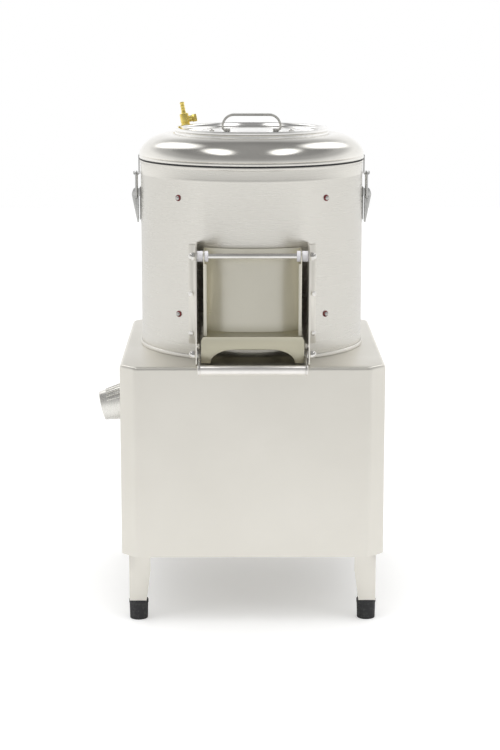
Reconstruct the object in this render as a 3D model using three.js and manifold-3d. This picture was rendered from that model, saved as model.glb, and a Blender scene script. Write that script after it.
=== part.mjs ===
import * as THREE from 'three';
import { mergeVertices } from 'three/addons/utils/BufferGeometryUtils.js';
import Module from 'manifold-3d';

// Electric potato peeler on four legs. All lengths are in millimetres.
// While the pieces are made, the drum's axis is X 0, Y 0, the front is -Y and the floor is Z 0.
// At the end the whole group moves so that its origin is under the middle of its outer box.

// Clearances and steps that many pieces share
const gap = 0.3;
const pinGap = 0.35;
const overrun = 4;
const weldDistance = 0.001;
const drumSides = 36;
const coverSides = 32;
const machinedSides = 24;
const footSides = 18;
const smallSides = 12;
const screwSides = 8;
const hexSides = 6;
const cornerSteps = 2;
const slotSteps = 1;
const linkSteps = 6;
const halfTurnDegrees = 180;

// Cabinet: its deck is wider and deeper than the drum by these margins
const legHeight = 114;
const cabinetHeight = 316;
const deckMarginSide = 27.5;
const deckMarginFront = 52.5;
const sheetWall = 1.5;
const cornerChamfer = 25;
const cornerBend = 12;
const topBend = 6;

// Base panel and rear service panel
const baseRise = 2;
const baseWall = 2;
const baseRim = 12;
const ventLength = 70;
const ventWidth = 6;
const ventPitch = 18;
const ventCount = 4;
const serviceWidth = 280;
const serviceRise = 26;
const serviceHeight = 160;
const servicePanelWall = 1.2;
const servicePanelLap = 14;
const servicePanelCorner = 8;
const panelScrewRadius = 4.2;
const panelScrewHeight = 2.4;

// Legs and feet
const legInsetSide = 12;
const legInsetFront = 22.5;
const legWidth = 35;
const legToeWidth = 28;
const legStraight = 30;
const legWall = 2;
const legPlateSize = 44;
const legPlateWall = 3;
const legTabWall = 3;
const footInset = 14.5;
const footHeight = 33;
const footRadius = 16.3;
const footSoleRadius = 15.1;
const footEdge = 1.6;

// Drum, its foot ring and its floor
const drumRadius = 187.5;
const drumWall = 1.5;
const drumHeight = 313.5;
const swageDrop = 22.5;
const swageHeight = 5;
const swageRise = 0.6;
const rimRollRise = 1.5;
const rimRollHeight = 5;
const ringWall = 1.8;
const ringHeight = 6;
const ringFlange = 11;
const floorWall = 2;
const collarRadius = 21.5;
const collarWall = 1.6;
const collarHeight = 9;
const outletWidth = 152;
const outletSill = 19;
const outletHeight = 165;
const outletCorner = 8;

// Abrasive liner and its screws
const linerWall = 5;
const linerGap = 0.4;
const linerSill = 36;
const linerTopDrop = 27.5;
const linerRelief = 4;
const linerScrewSpread = 120;
const linerScrewTopInset = 24.5;
const linerScrewFootInset = 35;
const linerScrewRadius = 2.7;
const washerRadius = 5.2;
const washerHeight = 1.2;
const screwHeadRadius = 3.6;
const screwHeadHeight = 2.6;

// Abrasive disc and its nut
const discRadius = 182;
const discEdge = 9;
const discRise = 3;
const waveHeight = 5;
const waveCount = 3;
const discRingShares = [0.22, 0.42, 0.62, 0.82, 1];
const discSkirtRadius = 28;
const discSkirtWall = 3;
const discSkirtDrop = 6;
const discHubRadius = 20;
const discLift = 13;
const discNutRadius = 13;
const discNutHeight = 9;
const discNutDome = 5;
const nutDomeShare = 0.8;
const nutCrownShare = 0.55;

// Domed lid, seal and feed cover
const sealWall = 1.8;
const sealWidth = 6;
const lidRadius = 190;
const lidWall = 1.2;
const lidCrease = 1.1;
const lidBand = 5;
const lidCrownInset = 48;
const lidCrownHeight = 40.4;
const lidFullness = 1.75;
const lidSteps = 5;
const lidSeatRadius = 131;
const lidSeatHeight = 37;
const lidMouthRadius = 118.6;
const lidNeck = 8;
const coverRadius = 130;
const coverBeads = 13;
const coverBeadGroove = 1.4;
const coverFloorDrop = 6.5;
const coverFloorRadius = 119;
const coverWall = 1.5;
const coverSpigotRadius = 116.8;
const coverSpigotDrop = 5;
const coverScrewSpread = 67;
const coverScrewRadius = 4.2;
const coverScrewHeight = 3;

// Cover handle
const handleHalf = 50.5;
const handleRise = 29;
const handleStrap = 3.6;
const handleWidth = 20;
const handleFootEnd = 36;
const handleFootBend = 7;
const handleTopBend = 21;
const handleSteps = 4;

// Water inlet on the lid
const inletSide = 112;
const inletBack = 95;
const inletLeanDegrees = 13;
const inletSeat = 1.6;
const inletSpigotRadius = 5;
const inletSpigotDrop = 12;
const inletHexRadius = 9;
const inletHexHeight = 5;
const inletBodyRadius = 7.6;
const inletBodyHeight = 28;
const inletBodyEdge = 1;
const inletBranchHeight = 17.5;
const inletBranchRadius = 5.4;
const inletBranchLength = 21;
const inletPlugRadius = 7.2;
const inletPlugLength = 8;
const inletSocketRadius = 3.4;
const inletSocketDepth = 6;
const barbRadius = 4;
const barbStep = 0.8;
const barbPitch = 5;
const barbCount = 4;
const barbConeShare = 0.7;
const barbBoreRadius = 1.9;

// Outlet cheeks
const cheekInner = 89;
const cheekWall = 2;
const cheekTopMargin = 8;
const cheekLift = 3;
const cheekOverhang = 12;
const cheekLean = 12;
const cheekTopCorner = 15;
const cheekLowCorner = 12;
const cheekFlangeReach = 104;
const cheekFlangeRise = 21.6;
const cheekFlangeTopInset = 4.3;
const cheekFlangeWall = 2;
const flangeSteps = 2;
const cheekScrewReach = 98;
const cheekScrewRise = 17.4;
const cheekScrewPitch = 65.5;
const cheekScrewRadius = 4.5;
const cheekScrewHeight = 3;
const stopInset = 6;
const stopRise = 33;
const stopRadius = 3;
const stopReach = 2;

// Hinge rod and bushes
const hingeSetback = 18;
const hingeDrop = 7.5;
const rodRadius = 4.5;
const bushRadius = 8.7;
const innerBushLength = 6.2;
const capNutRadius = 7.4;
const capNutHex = 6;
const capNutDome = 5;
const capNutDomeRadius = 5.6;
const capNutShoulderShare = 0.8;
const capNutRiseShare = 0.6;

// Outlet door
const doorClearance = 8.5;
const doorWall = 1.5;
const doorHalf = 77;
const doorTopLap = 1;
const doorFootInset = 1;
const doorSteps = 10;
const earWall = 1.5;
const earRadius = 10;
const earFront = 7.5;
const earSteps = 5;
const earLip = 3.7;
const ledgeMargin = 0.6;
const earLipDrop = 11.5;
const apronOverhang = 1.5;
const apronHalf = 82.5;
const apronLift = 4;
const apronHeight = 42.5;
const apronCorner = 6;
const archHalf = 68;
const archFlatHalf = 27.5;
const archRise = 22.4;
const archSteps = 6;

// Chute floor
const chuteRise = 11;
const chuteLip = 1.5;
const chuteInset = 2;
const chuteWall = 2;
const chuteNotch = 16;
const chuteNotchSide = 1.2;

// Locking bar and its pivots
const pivotSetback = 12;
const pivotRise = 15.8;
const pivotRadius = 4;
const pivotHeadRadius = 6.5;
const pivotHeadLength = 4;
const pivotWasherRadius = 8;
const barStandoff = 15;
const barDrop = 19;
const barRadius = 8;
const barEndGap = 0.6;
const barEndChamfer = 2;
const armInner = 84;
const armWall = 2.5;
const armRootRadius = 9;
const armEndRadius = 9.5;

// Toggle latches
const latchPinStandoff = 10;
const latchPinDrop = 57.5;
const latchPinRadius = 1.5;
const bailInset = 2.5;
const bailFootDrop = 8.1;
const bailLength = 42.7;
const bailRadius = 1.9;
const bailFootEnd = 4.5;
const bailFootBend = 2.6;
const bailTopBend = 3.5;
const bailSteps = 3;
const latchPlateWall = 1.5;
const latchPlateHalf = 13;
const latchPlateDrop = 45;
const latchPlateRise = 10;
const latchEarHalf = 9;
const latchEarWall = 1.5;
const latchEarRadius = 5;
const leverHalf = 7;
const leverWall = 1.5;
const leverStandoff = 4.1;
const leverDepth = 11.4;
const leverTipDrop = 50;
const leverTipWidth = 2.2;
const leverTopRise = 7;
const leverForkDrop = 15;
const catchWall = 1.6;
const catchHalf = 7.5;
const catchLap = 4.1;
const catchHookClearance = 0.75;
const catchPlay = 1.5;
const catchLipRise = 1.4;
const catchSink = 0.4;

// Timer knob and timer
const knobForward = 150;
const knobDrop = 74;
const knobLength = 33.6;
const knobDroopDegrees = 13.5;
const knobBaseRadius = 28.6;
const knobEndRadius = 24;
const knobEdge = 1.5;
const knobRibRise = 1.4;
const knobRibWidth = 3.4;
const knobRibLength = 22;
const knobRibPitchDegrees = 15;
const knobRibCount = 5;
const knobRibCentreDegrees = 122;
const knobShaftRadius = 3;
const knobShaftLength = 18;
const timerNeckRadius = 6;
const timerBodySize = 56;
const timerBodyDepth = 38;
const timerCorner = 6;

// Spindle and its bearings
const spindleRadius = 12.5;
const spindleTail = 15;
const spindleEdge = 1;
const spindleThreadRadius = 8;
const bearingRadius = 26;
const bearingHeight = 15;
const housingRadius = 33;
const housingFlangeRadius = 55;
const housingFlangeHeight = 9;
const housingHeight = 128.2;
const housingTopSeat = 25;
const housingThroatRadius = 20;
const housingRibWall = 5;
const housingRibCount = 4;
const housingRibDrop = 60;
const housingRibSink = 2;
const bearingRecess = 1.2;
const bearingRaceWidth = 4;
const sealHeight = 8;
const deckHoleRadius = 29;

// Belt drive
const beltRise = 41;
const beltTopWidth = 13;
const beltBottomWidth = 8;
const beltHeight = 8;
const beltGap = 0.6;
const beltBigSteps = 26;
const beltSmallSteps = 10;
const bigPulleyRadius = 112;
const smallPulleyRadius = 28;
const pulleyRimWall = 8;
const pulleyHeight = 20;
const pulleyWeb = 7;
const pulleyHubRadius = 22;
const pulleyHubHeight = 26;
const pulleyHoleRadius = 18;
const pulleyHoleCircle = 62;
const pulleyHoleCount = 5;

// Motor and its bracket
const motorRearGap = 13.5;
const motorLift = 37;
const motorLength = 164;
const motorRadius = 60;
const motorFin = 6;
const motorFinCount = 18;
const motorFinShare = 0.5;
const motorFinTaperShare = 0.1;
const motorShieldHeight = 10;
const motorShieldRadius = 63;
const motorShaftRadius = 9.5;
const motorShaftSocket = 22;
const fanCoverRadius = 67;
const fanCoverHeight = 40;
const fanCoverEdge = 6;
const fanSlotWidth = 4;
const fanSlotLength = 26;
const fanSlotCount = 8;
const fanSlotDepth = 5;
const motorRailReach = 74;
const motorRailHalf = 12;
const motorRailHeight = 16;
const motorRailSpan = 50;
const motorRailRise = 40;
const motorRailPitch = 84;
const bracketWall = 4;
const bracketTail = 18;
const bracketFlange = 34;
const bracketHalf = 58;
const boltRadius = 4;
const boltHeadRadius = 7;
const boltHeadHeight = 5;
const boltSlotLength = 24;
const terminalHalf = 24;
const terminalDepth = 20;
const terminalHeight = 52;

// Drain pipe
const drainSide = 112;
const drainBack = 100;
const drainRadius = 20;
const drainWall = 2;
const drainBend = 42;
const drainDrop = 80;
const drainReach = 32;
const drainBendSteps = 4;
const drainSides = 16;

// Cable gland
const glandSide = 120;
const glandDrop = 80;
const glandHexRadius = 13;
const glandHexLength = 7;
const glandBodyRadius = 10;
const glandBodyLength = 14;
const glandThreadRadius = 8;
const glandBoreRadius = 4.5;
const glandNutLength = 6;

// Cabinet and legs: places that follow from the sizes above
const cabinetBottom = legHeight;
const cabinetTop = cabinetBottom + cabinetHeight;
const cabinetSide = drumRadius + deckMarginSide;
const cabinetRear = drumRadius + deckMarginFront;
const cabinetFront = cabinetRear;
const deckUnderside = cabinetTop - sheetWall;
const baseBottom = cabinetBottom + baseRise;
const serviceBottom = cabinetBottom + serviceRise;
const serviceTop = serviceBottom + serviceHeight;
const legCornerX = cabinetSide - legInsetSide;
const legCornerY = cabinetRear - legInsetFront;
const footX = legCornerX - footInset;
const footY = legCornerY - footInset;

// Drum, disc, lid and cover: places that follow
const drumTop = cabinetTop + drumHeight;
const swageCentre = drumTop - swageDrop;
const ringBottom = cabinetTop + gap;
const floorBottom = ringBottom + ringWall + gap;
const floorTop = floorBottom + floorWall;
const drumInside = drumRadius - drumWall;
const ringRadius = drumRadius + gap + ringWall;
const outletBottom = cabinetTop + outletSill;
const outletTop = outletBottom + outletHeight;
const linerBottom = cabinetTop + linerSill;
const linerTop = drumTop - linerTopDrop;
const linerScrewHigh = linerTop - linerScrewTopInset;
const linerScrewLow = linerBottom + linerScrewFootInset;
const discBottom = floorTop + discLift;
const discHubTop = discBottom + discEdge + discRise + waveHeight;
const discNutSeat = discHubTop + gap;
const spindleThreadEnd = discNutSeat + discNutHeight / 2;
const spindleShoulder = discBottom - gap;
const lidBottom = drumTop + gap + sealWall + gap;
const lidCrownRadius = lidRadius - lidCrownInset;
const lidCrown = lidBottom + lidCrownHeight;
const lidSeat = lidBottom + lidSeatHeight;
const coverBottom = lidSeat + gap;
const coverTop = coverBottom + coverBeads;
const coverFloor = coverTop - coverFloorDrop;

// Outlet: places that follow from the cabinet's front and top and the drum's window
const cheekOuter = cheekInner + cheekWall;
const cheekBottom = cabinetTop + cheekLift;
const cheekTop = outletTop + cheekTopMargin;
const cheekForward = cabinetFront + cheekOverhang;
const cheekTopForward = cheekForward - cheekLean;
const cheekFlangeBottom = cheekBottom + cheekFlangeRise;
const cheekFlangeTop = cheekTop - cheekFlangeTopInset;
const cheekScrewLow = cheekFlangeBottom + cheekScrewRise;
const cheekScrewHigh = cheekScrewLow + cheekScrewPitch;
const stopForward = cheekForward - stopInset;
const stopHeight = cheekBottom + stopRise;
const hingeForward = cabinetFront - hingeSetback;
const hingeHeight = outletTop - hingeDrop;
const doorRadius = drumRadius + doorClearance;
const doorTop = outletTop + doorTopLap;
const doorBottom = outletBottom + doorFootInset;
const earForward = hingeForward + earFront;
const earLipTop = hingeHeight - earLipDrop;
const apronForward = cabinetFront + apronOverhang;
const apronBottom = cheekBottom + apronLift;
const ledgeTop = apronBottom + apronHeight;
const ledgeHalf = doorHalf + earWall + ledgeMargin;
const chuteFront = cheekForward - chuteInset;
const chuteFrontHeight = cheekBottom - chuteLip;
const chuteBackHeight = cheekBottom + chuteRise;
const pivotForward = cabinetFront - pivotSetback;
const pivotHeight = cheekBottom + pivotRise;
const barForward = cabinetFront + barStandoff + barRadius;
const barHeight = pivotHeight - barDrop;
const barHalf = cheekInner - barEndGap;
const chuteNotchBack = pivotForward - chuteNotch;

// Latches and knob: places that follow
const latchPinReach = drumRadius + latchPinStandoff;
const latchPinHeight = drumTop - latchPinDrop;
const latchPlateBottom = latchPinHeight - latchPlateDrop;
const latchPlateTop = latchPinHeight + latchPlateRise;
const bailReach = latchPinReach - bailInset;
const bailFootHeight = latchPinHeight - bailFootDrop;
const bailTopHeight = bailFootHeight + bailLength;
const bailLegHalf = latchEarHalf + gap + bailRadius;
const leverInner = drumRadius + leverStandoff;
const leverWide = leverInner + leverDepth;
const leverTipHeight = latchPinHeight - leverTipDrop;
const leverTopHeight = latchPinHeight + leverTopRise;
const leverForkHeight = latchPinHeight - leverForkDrop;
const catchPlateReach = lidRadius - catchSink;
const catchTop = lidBottom + catchLap;
const catchLipReach = bailReach + bailRadius + catchPlay;
const catchLipTop = bailTopHeight + catchLipRise;
const knobHeight = cabinetTop - knobDrop;

// Drive, drain and gland: places that follow
const beltPlane = cabinetBottom + beltRise;
const spindleFoot = beltPlane - spindleTail;
const housingTop = deckUnderside - gap;
const housingBottom = housingTop - housingHeight;
const motorBack = cabinetRear - sheetWall - motorRearGap - fanCoverRadius;
const motorBodyBottom = beltPlane + motorLift;
const motorBodyTop = motorBodyBottom + motorLength;
const motorRailLow = motorBodyBottom + motorRailRise;
const motorRailHigh = motorRailLow + motorRailPitch;
const bracketBottom = motorRailLow - bracketTail;
const drainExitHeight = cabinetTop - drainDrop;
const glandHeight = cabinetTop - glandDrop;

const wasm = await Module();
wasm.setup();

function steel(name, shade, roughness) {
  const material = new THREE.MeshStandardMaterial({ color: shade, roughness, metalness: 1 });
  material.name = name;
  return material;
}

function plain(name, shade, roughness) {
  const material = new THREE.MeshStandardMaterial({ color: shade, roughness, metalness: 0 });
  material.name = name;
  return material;
}

const finishes = {
  satin: steel('satin steel', 0xcdcac2, 0.42),
  polished: steel('polished steel', 0xdcdcdc, 0.15),
  zinc: steel('zinc steel', 0xb8bcc0, 0.45),
  machined: steel('machined steel', 0xa9adb0, 0.3),
  brass: steel('brass', 0xc9a13b, 0.3),
  cast: steel('cast metal', 0x8d9093, 0.6),
  rubber: plain('black rubber', 0x1c1c1c, 0.85),
  bush: plain('white plastic', 0xe6e3e6, 0.5),
  abrasive: plain('abrasive grit', 0x6f6a62, 0.95),
  motorPaint: plain('motor paint', 0x5c646b, 0.5),
  housing: plain('black plastic', 0x242424, 0.6),
};

// Geometry helpers

function signedVolume(geometry) {
  const position = geometry.getAttribute('position');
  const index = geometry.index.array;
  const corner = [new THREE.Vector3(), new THREE.Vector3(), new THREE.Vector3()];
  let sum = 0;
  for (let i = 0; i < index.length; i += 3) {
    corner.forEach((point, k) => point.fromBufferAttribute(position, index[i + k]));
    sum += corner[0].dot(corner[1].clone().cross(corner[2]));
  }
  return sum / 6;
}

function dropSlivers(index) {
  const kept = [];
  for (let i = 0; i < index.length; i += 3) {
    const [a, b, c] = [index[i], index[i + 1], index[i + 2]];
    if (a !== b && b !== c && c !== a) kept.push(a, b, c);
  }
  return kept;
}

// Welds the vertices, drops empty triangles and turns the faces outward.
function closed(geometry) {
  const bare = new THREE.BufferGeometry();
  bare.setAttribute('position', geometry.getAttribute('position').clone());
  if (geometry.index) bare.setIndex(geometry.index.clone());
  const merged = mergeVertices(bare, weldDistance);
  merged.setIndex(dropSlivers(merged.index.array));
  if (signedVolume(merged) < 0) merged.setIndex(Array.from(merged.index.array).reverse());
  return merged;
}

function toSolid(geometry) {
  const shape = closed(geometry);
  const vertProperties = new Float32Array(shape.getAttribute('position').array);
  const triVerts = new Uint32Array(shape.index.array);
  return new wasm.Manifold(new wasm.Mesh({ numProp: 3, vertProperties, triVerts }));
}

function toGeometry(solid) {
  const mesh = solid.getMesh();
  const geometry = new THREE.BufferGeometry();
  geometry.setAttribute('position', new THREE.BufferAttribute(new Float32Array(mesh.vertProperties), 3));
  geometry.setIndex(new THREE.BufferAttribute(new Uint32Array(mesh.triVerts), 1));
  return geometry;
}

function joined(...geometries) {
  return toGeometry(geometries.map(toSolid).reduce((sum, solid) => sum.add(solid)));
}

function carved(geometry, ...cutters) {
  return toGeometry(cutters.map(toSolid).reduce((left, cutter) => left.subtract(cutter), toSolid(geometry)));
}

function box(x0, x1, y0, y1, z0, z1) {
  const geometry = new THREE.BoxGeometry(Math.abs(x1 - x0), Math.abs(y1 - y0), Math.abs(z1 - z0));
  return geometry.translate((x0 + x1) / 2, (y0 + y1) / 2, (z0 + z1) / 2);
}

function rodZ(radius, z0, z1, x, y, sides) {
  const geometry = new THREE.CylinderGeometry(radius, radius, Math.abs(z1 - z0), sides);
  return geometry.rotateX(Math.PI / 2).translate(x, y, (z0 + z1) / 2);
}

function rodX(radius, x0, x1, y, z, sides) {
  const geometry = new THREE.CylinderGeometry(radius, radius, Math.abs(x1 - x0), sides);
  return geometry.rotateZ(Math.PI / 2).translate((x0 + x1) / 2, y, z);
}

function rodY(radius, y0, y1, x, z, sides) {
  return new THREE.CylinderGeometry(radius, radius, Math.abs(y1 - y0), sides).translate(x, (y0 + y1) / 2, z);
}

// A body of revolution about Z from [radius, height] points.
// A profile that stays off the axis is closed on itself.
function turned(profile, sides) {
  const points = profile.map(([radius, height]) => new THREE.Vector2(radius, height));
  const onAxis = profile[0][0] === 0 && profile[profile.length - 1][0] === 0;
  if (!onAxis) points.push(points[0].clone());
  return new THREE.LatheGeometry(points, sides).rotateX(Math.PI / 2);
}

function turnedX(profile, sides, x, y, z) {
  return turned(profile, sides).rotateY(Math.PI / 2).translate(x, y, z);
}

function shapeOf(outline) {
  return new THREE.Shape(outline.map(([a, b]) => new THREE.Vector2(a, b)));
}

function prismZ(outline, z0, z1) {
  const geometry = new THREE.ExtrudeGeometry(shapeOf(outline), { depth: z1 - z0, bevelEnabled: false });
  return geometry.translate(0, 0, z0);
}

// The outline is given as [y, z] points.
function prismX(outline, x0, x1) {
  const low = Math.min(x0, x1);
  const geometry = prismZ(outline, 0, Math.abs(x1 - x0));
  const turn = new THREE.Matrix4().set(0, 0, 1, low, 1, 0, 0, 0, 0, 1, 0, 0, 0, 0, 0, 1);
  return geometry.applyMatrix4(turn);
}

// The outline is given as [x, z] points.
function prismY(outline, y0, y1) {
  const low = Math.min(y0, y1);
  const geometry = prismZ(outline, 0, Math.abs(y1 - y0));
  const turn = new THREE.Matrix4().set(1, 0, 0, 0, 0, 0, 1, low, 0, 1, 0, 0, 0, 0, 0, 1);
  return closed(geometry.applyMatrix4(turn));
}

// Rounds each corner of a closed outline by the radius given with it as [a, b, radius].
function rounded(corners, steps = cornerSteps) {
  const outline = [];
  corners.forEach(([a, b, radius], k) => {
    const before = corners[(k + corners.length - 1) % corners.length];
    const after = corners[(k + 1) % corners.length];
    const here = new THREE.Vector2(a, b);
    if (!radius) {
      outline.push([a, b]);
      return;
    }
    const back = new THREE.Vector2(before[0], before[1]).sub(here).normalize();
    const ahead = new THREE.Vector2(after[0], after[1]).sub(here).normalize();
    const half = Math.acos(THREE.MathUtils.clamp(back.dot(ahead), -1, 1)) / 2;
    const middle = back.clone().add(ahead).normalize();
    const centre = here.clone().addScaledVector(middle, radius / Math.sin(half));
    const start = here.clone().addScaledVector(back, radius / Math.tan(half)).sub(centre);
    const end = here.clone().addScaledVector(ahead, radius / Math.tan(half)).sub(centre);
    const sweep = Math.atan2(start.x * end.y - start.y * end.x, start.dot(end));
    for (let i = 0; i <= steps; i += 1) {
      const point = start.clone().rotateAround(new THREE.Vector2(), (sweep * i) / steps).add(centre);
      outline.push([point.x, point.y]);
    }
  });
  return outline;
}

function rectangle(a0, a1, b0, b1, radius = 0, steps = cornerSteps) {
  return rounded([[a0, b0, radius], [a1, b0, radius], [a1, b1, radius], [a0, b1, radius]], steps);
}

function arcPoints(centreA, centreB, radius, from, to, steps) {
  const points = [];
  for (let i = 0; i <= steps; i += 1) {
    const angle = from + ((to - from) * i) / steps;
    points.push([centreA + radius * Math.cos(angle), centreB + radius * Math.sin(angle)]);
  }
  return points;
}

// The outline that a belt would take round two circles.
function linkOutline(a, radiusA, b, radiusB, steps = linkSteps) {
  const along = Math.atan2(b[1] - a[1], b[0] - a[0]);
  const apart = Math.hypot(b[0] - a[0], b[1] - a[1]);
  const side = Math.acos((radiusA - radiusB) / apart);
  const aroundA = arcPoints(a[0], a[1], radiusA, along + side, along + 2 * Math.PI - side, steps);
  const aroundB = arcPoints(b[0], b[1], radiusB, along - side, along + side, steps);
  return [...aroundA, ...aroundB];
}

// Moves each point of an open line sideways, to the left of its direction, by a wall.
function beside(line, distance) {
  return line.map(([a, b], k) => {
    const before = line[Math.max(k - 1, 0)];
    const after = line[Math.min(k + 1, line.length - 1)];
    const back = new THREE.Vector2(a - before[0], b - before[1]);
    const ahead = new THREE.Vector2(after[0] - a, after[1] - b);
    const first = (back.length() ? back : ahead).clone().normalize();
    const second = (ahead.length() ? ahead : back).clone().normalize();
    const mean = first.clone().add(second).normalize();
    const stretch = distance / Math.max(mean.dot(first), 1 / Math.SQRT2);
    return [a - mean.y * stretch, b + mean.x * stretch];
  });
}

// A closed outline of even wall from an open line.
function strip(line, wall) {
  return [...line, ...beside(line, wall).reverse()];
}

// Skins rings of points that have the same count. Open ends get flat caps.
function skin(rings, endless = false) {
  const count = rings[0].length;
  const positions = rings.flatMap((ring) => ring.flatMap((point) => point.toArray()));
  const index = [];
  const spans = endless ? rings.length : rings.length - 1;
  for (let r = 0; r < spans; r += 1) {
    const next = (r + 1) % rings.length;
    for (let i = 0; i < count; i += 1) {
      const j = (i + 1) % count;
      const [a, b, c, d] = [r * count + i, r * count + j, next * count + j, next * count + i];
      index.push(a, b, c, a, c, d);
    }
  }
  if (!endless) {
    const last = (rings.length - 1) * count;
    for (let i = 1; i < count - 1; i += 1) {
      index.push(0, i + 1, i);
      index.push(last, last + i, last + i + 1);
    }
  }
  const geometry = new THREE.BufferGeometry();
  geometry.setAttribute('position', new THREE.Float32BufferAttribute(positions, 3));
  geometry.setIndex(index);
  return geometry;
}

// A ring of points round a centre, square to a direction that lies across X
function pipeRing(radius, centre, along, sides) {
  const side = new THREE.Vector3(1, 0, 0);
  const up = new THREE.Vector3().crossVectors(along, side).normalize();
  const ring = [];
  for (let i = 0; i < sides; i += 1) {
    const angle = (2 * Math.PI * i) / sides;
    const point = centre.clone().addScaledVector(side, radius * Math.cos(angle));
    ring.push(point.addScaledVector(up, radius * Math.sin(angle)));
  }
  return ring;
}

// A pipe along a path that lies in a plane across X
function pipeAlong(path, radius, sides) {
  const last = path.length - 1;
  const rings = path.map((centre, k) => {
    const back = path[Math.max(k - 1, 0)];
    const ahead = path[Math.min(k + 1, last)];
    const along = k === 0 || k === last ? ahead.clone().sub(back) : meanDirection(back, centre, ahead);
    return pipeRing(radius, centre, along, sides);
  });
  return skin(rings);
}

function meanDirection(back, centre, ahead) {
  const first = centre.clone().sub(back).normalize();
  return first.add(ahead.clone().sub(centre).normalize()).normalize();
}

// A hexagon nut about Z.
function hexZ(radius, z0, z1, x, y) {
  return rodZ(radius, z0, z1, x, y, hexSides);
}

const machine = new THREE.Group();

function add(name, geometry, finish, carrier = machine) {
  const shape = closed(geometry);
  shape.computeVertexNormals();
  const mesh = new THREE.Mesh(shape, finish);
  mesh.name = name;
  carrier.add(mesh);
  return mesh;
}

// Cabinet

function cabinetRing(inset, height) {
  const halfX = cabinetSide - inset;
  const halfY = cabinetRear - inset;
  const cut = cornerChamfer - inset * (2 - Math.SQRT2);
  const bend = Math.max(cornerBend - inset, sheetWall);
  const corners = [
    [halfX, -halfY + cut, bend], [halfX, halfY - cut, bend], [halfX - cut, halfY, bend],
    [-halfX + cut, halfY, bend], [-halfX, halfY - cut, bend], [-halfX, -halfY + cut, bend],
    [-halfX + cut, -halfY, bend], [halfX - cut, -halfY, bend],
  ];
  return rounded(corners).map(([x, y]) => new THREE.Vector3(x, y, height));
}

function cabinetBlock(inset, bottom) {
  const rings = [cabinetRing(inset, bottom)];
  const bend = topBend - inset;
  for (let i = 0; i <= cornerSteps; i += 1) {
    const angle = (Math.PI / 2) * (i / cornerSteps);
    const drop = bend * (1 - Math.sin(angle));
    rings.push(cabinetRing(inset + bend * (1 - Math.cos(angle)), cabinetTop - inset - drop));
  }
  return skin(rings);
}

function cabinetHoles() {
  const [deckLow, deckHigh] = [deckUnderside - overrun, cabinetTop + overrun];
  const [rearIn, rearOut] = [cabinetRear - sheetWall - overrun, cabinetRear + overrun];
  const [sideOut, sideIn] = [-cabinetSide - overrun, -cabinetSide + sheetWall + overrun];
  const service = rectangle(-serviceWidth / 2, serviceWidth / 2, serviceBottom, serviceTop, servicePanelCorner);
  return [
    rodZ(deckHoleRadius, deckLow, deckHigh, 0, 0, machinedSides),
    rodZ(drainRadius + gap, deckLow, deckHigh, -drainSide, drainBack, machinedSides),
    prismY(service, rearIn, rearOut),
    rodY(drainRadius + gap, rearIn, rearOut, -drainSide, drainExitHeight, machinedSides),
    rodY(glandThreadRadius + gap, rearIn, rearOut, glandSide, glandHeight, smallSides),
    rodX(timerNeckRadius + gap, sideOut, sideIn, -knobForward, knobHeight, smallSides),
  ];
}

function cabinetShell() {
  const outside = cabinetBlock(0, cabinetBottom);
  const inside = cabinetBlock(sheetWall, cabinetBottom - overrun);
  add('cabinet_shell', carved(outside, inside, ...cabinetHoles()), finishes.satin);
}

// Rows of vent slots on both sides of the middle, as outlines round the given point
function ventOutlines(spread, middle) {
  const outlines = [];
  for (let row = 0; row < ventCount; row += 1) {
    const level = middle + (row - (ventCount - 1) / 2) * ventPitch;
    for (const side of [-1, 1]) {
      const [left, right] = [side * spread - ventLength / 2, side * spread + ventLength / 2];
      const [low, high] = [level - ventWidth / 2, level + ventWidth / 2];
      outlines.push(rectangle(left, right, low, high, ventWidth / 3, slotSteps));
    }
  }
  return outlines;
}

function servicePanel() {
  const inner = cabinetRear + gap;
  const outer = inner + servicePanelWall;
  const halfX = serviceWidth / 2 + servicePanelLap;
  const low = serviceBottom - servicePanelLap;
  const high = serviceTop + servicePanelLap;
  const plate = prismY(rectangle(-halfX, halfX, low, high, servicePanelCorner), inner, outer);
  const vents = ventOutlines(serviceWidth / 4, (low + high) / 2);
  const slots = vents.map((outline) => prismY(outline, inner - overrun, outer + overrun));
  const screws = [];
  for (const x of [-halfX, 0, halfX]) {
    for (const z of [low, high]) {
      const inX = x - Math.sign(x) * servicePanelLap / 2;
      const inZ = z + Math.sign((low + high) / 2 - z) * servicePanelLap / 2;
      const seat = inner + servicePanelWall / 2;
      screws.push(rodY(panelScrewRadius, seat, outer + panelScrewHeight, inX, inZ, screwSides));
    }
  }
  add('rear_panel', joined(carved(plate, ...slots), ...screws), finishes.satin);
}

function flatRing(inset, height) {
  return cabinetRing(inset, height).map((point) => [point.x, point.y]);
}

function basePanel() {
  const inset = sheetWall + gap;
  const floor = baseBottom + baseWall;
  const tray = prismZ(flatRing(inset, 0), baseBottom, floor + baseRim);
  const hollow = prismZ(flatRing(inset + baseWall, 0), floor, floor + baseRim + overrun);
  const vents = ventOutlines(cabinetSide / 2, 0);
  const slots = vents.map((outline) => prismZ(outline, baseBottom - overrun, baseBottom + baseWall + overrun));
  add('base_panel', carved(tray, hollow, ...slots), finishes.satin);
}

// Legs and feet, made for the corner at +X, -Y and mirrored from there

function mirrored(geometry, sideX, sideY) {
  return closed(geometry.clone().scale(sideX, sideY, 1));
}

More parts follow.
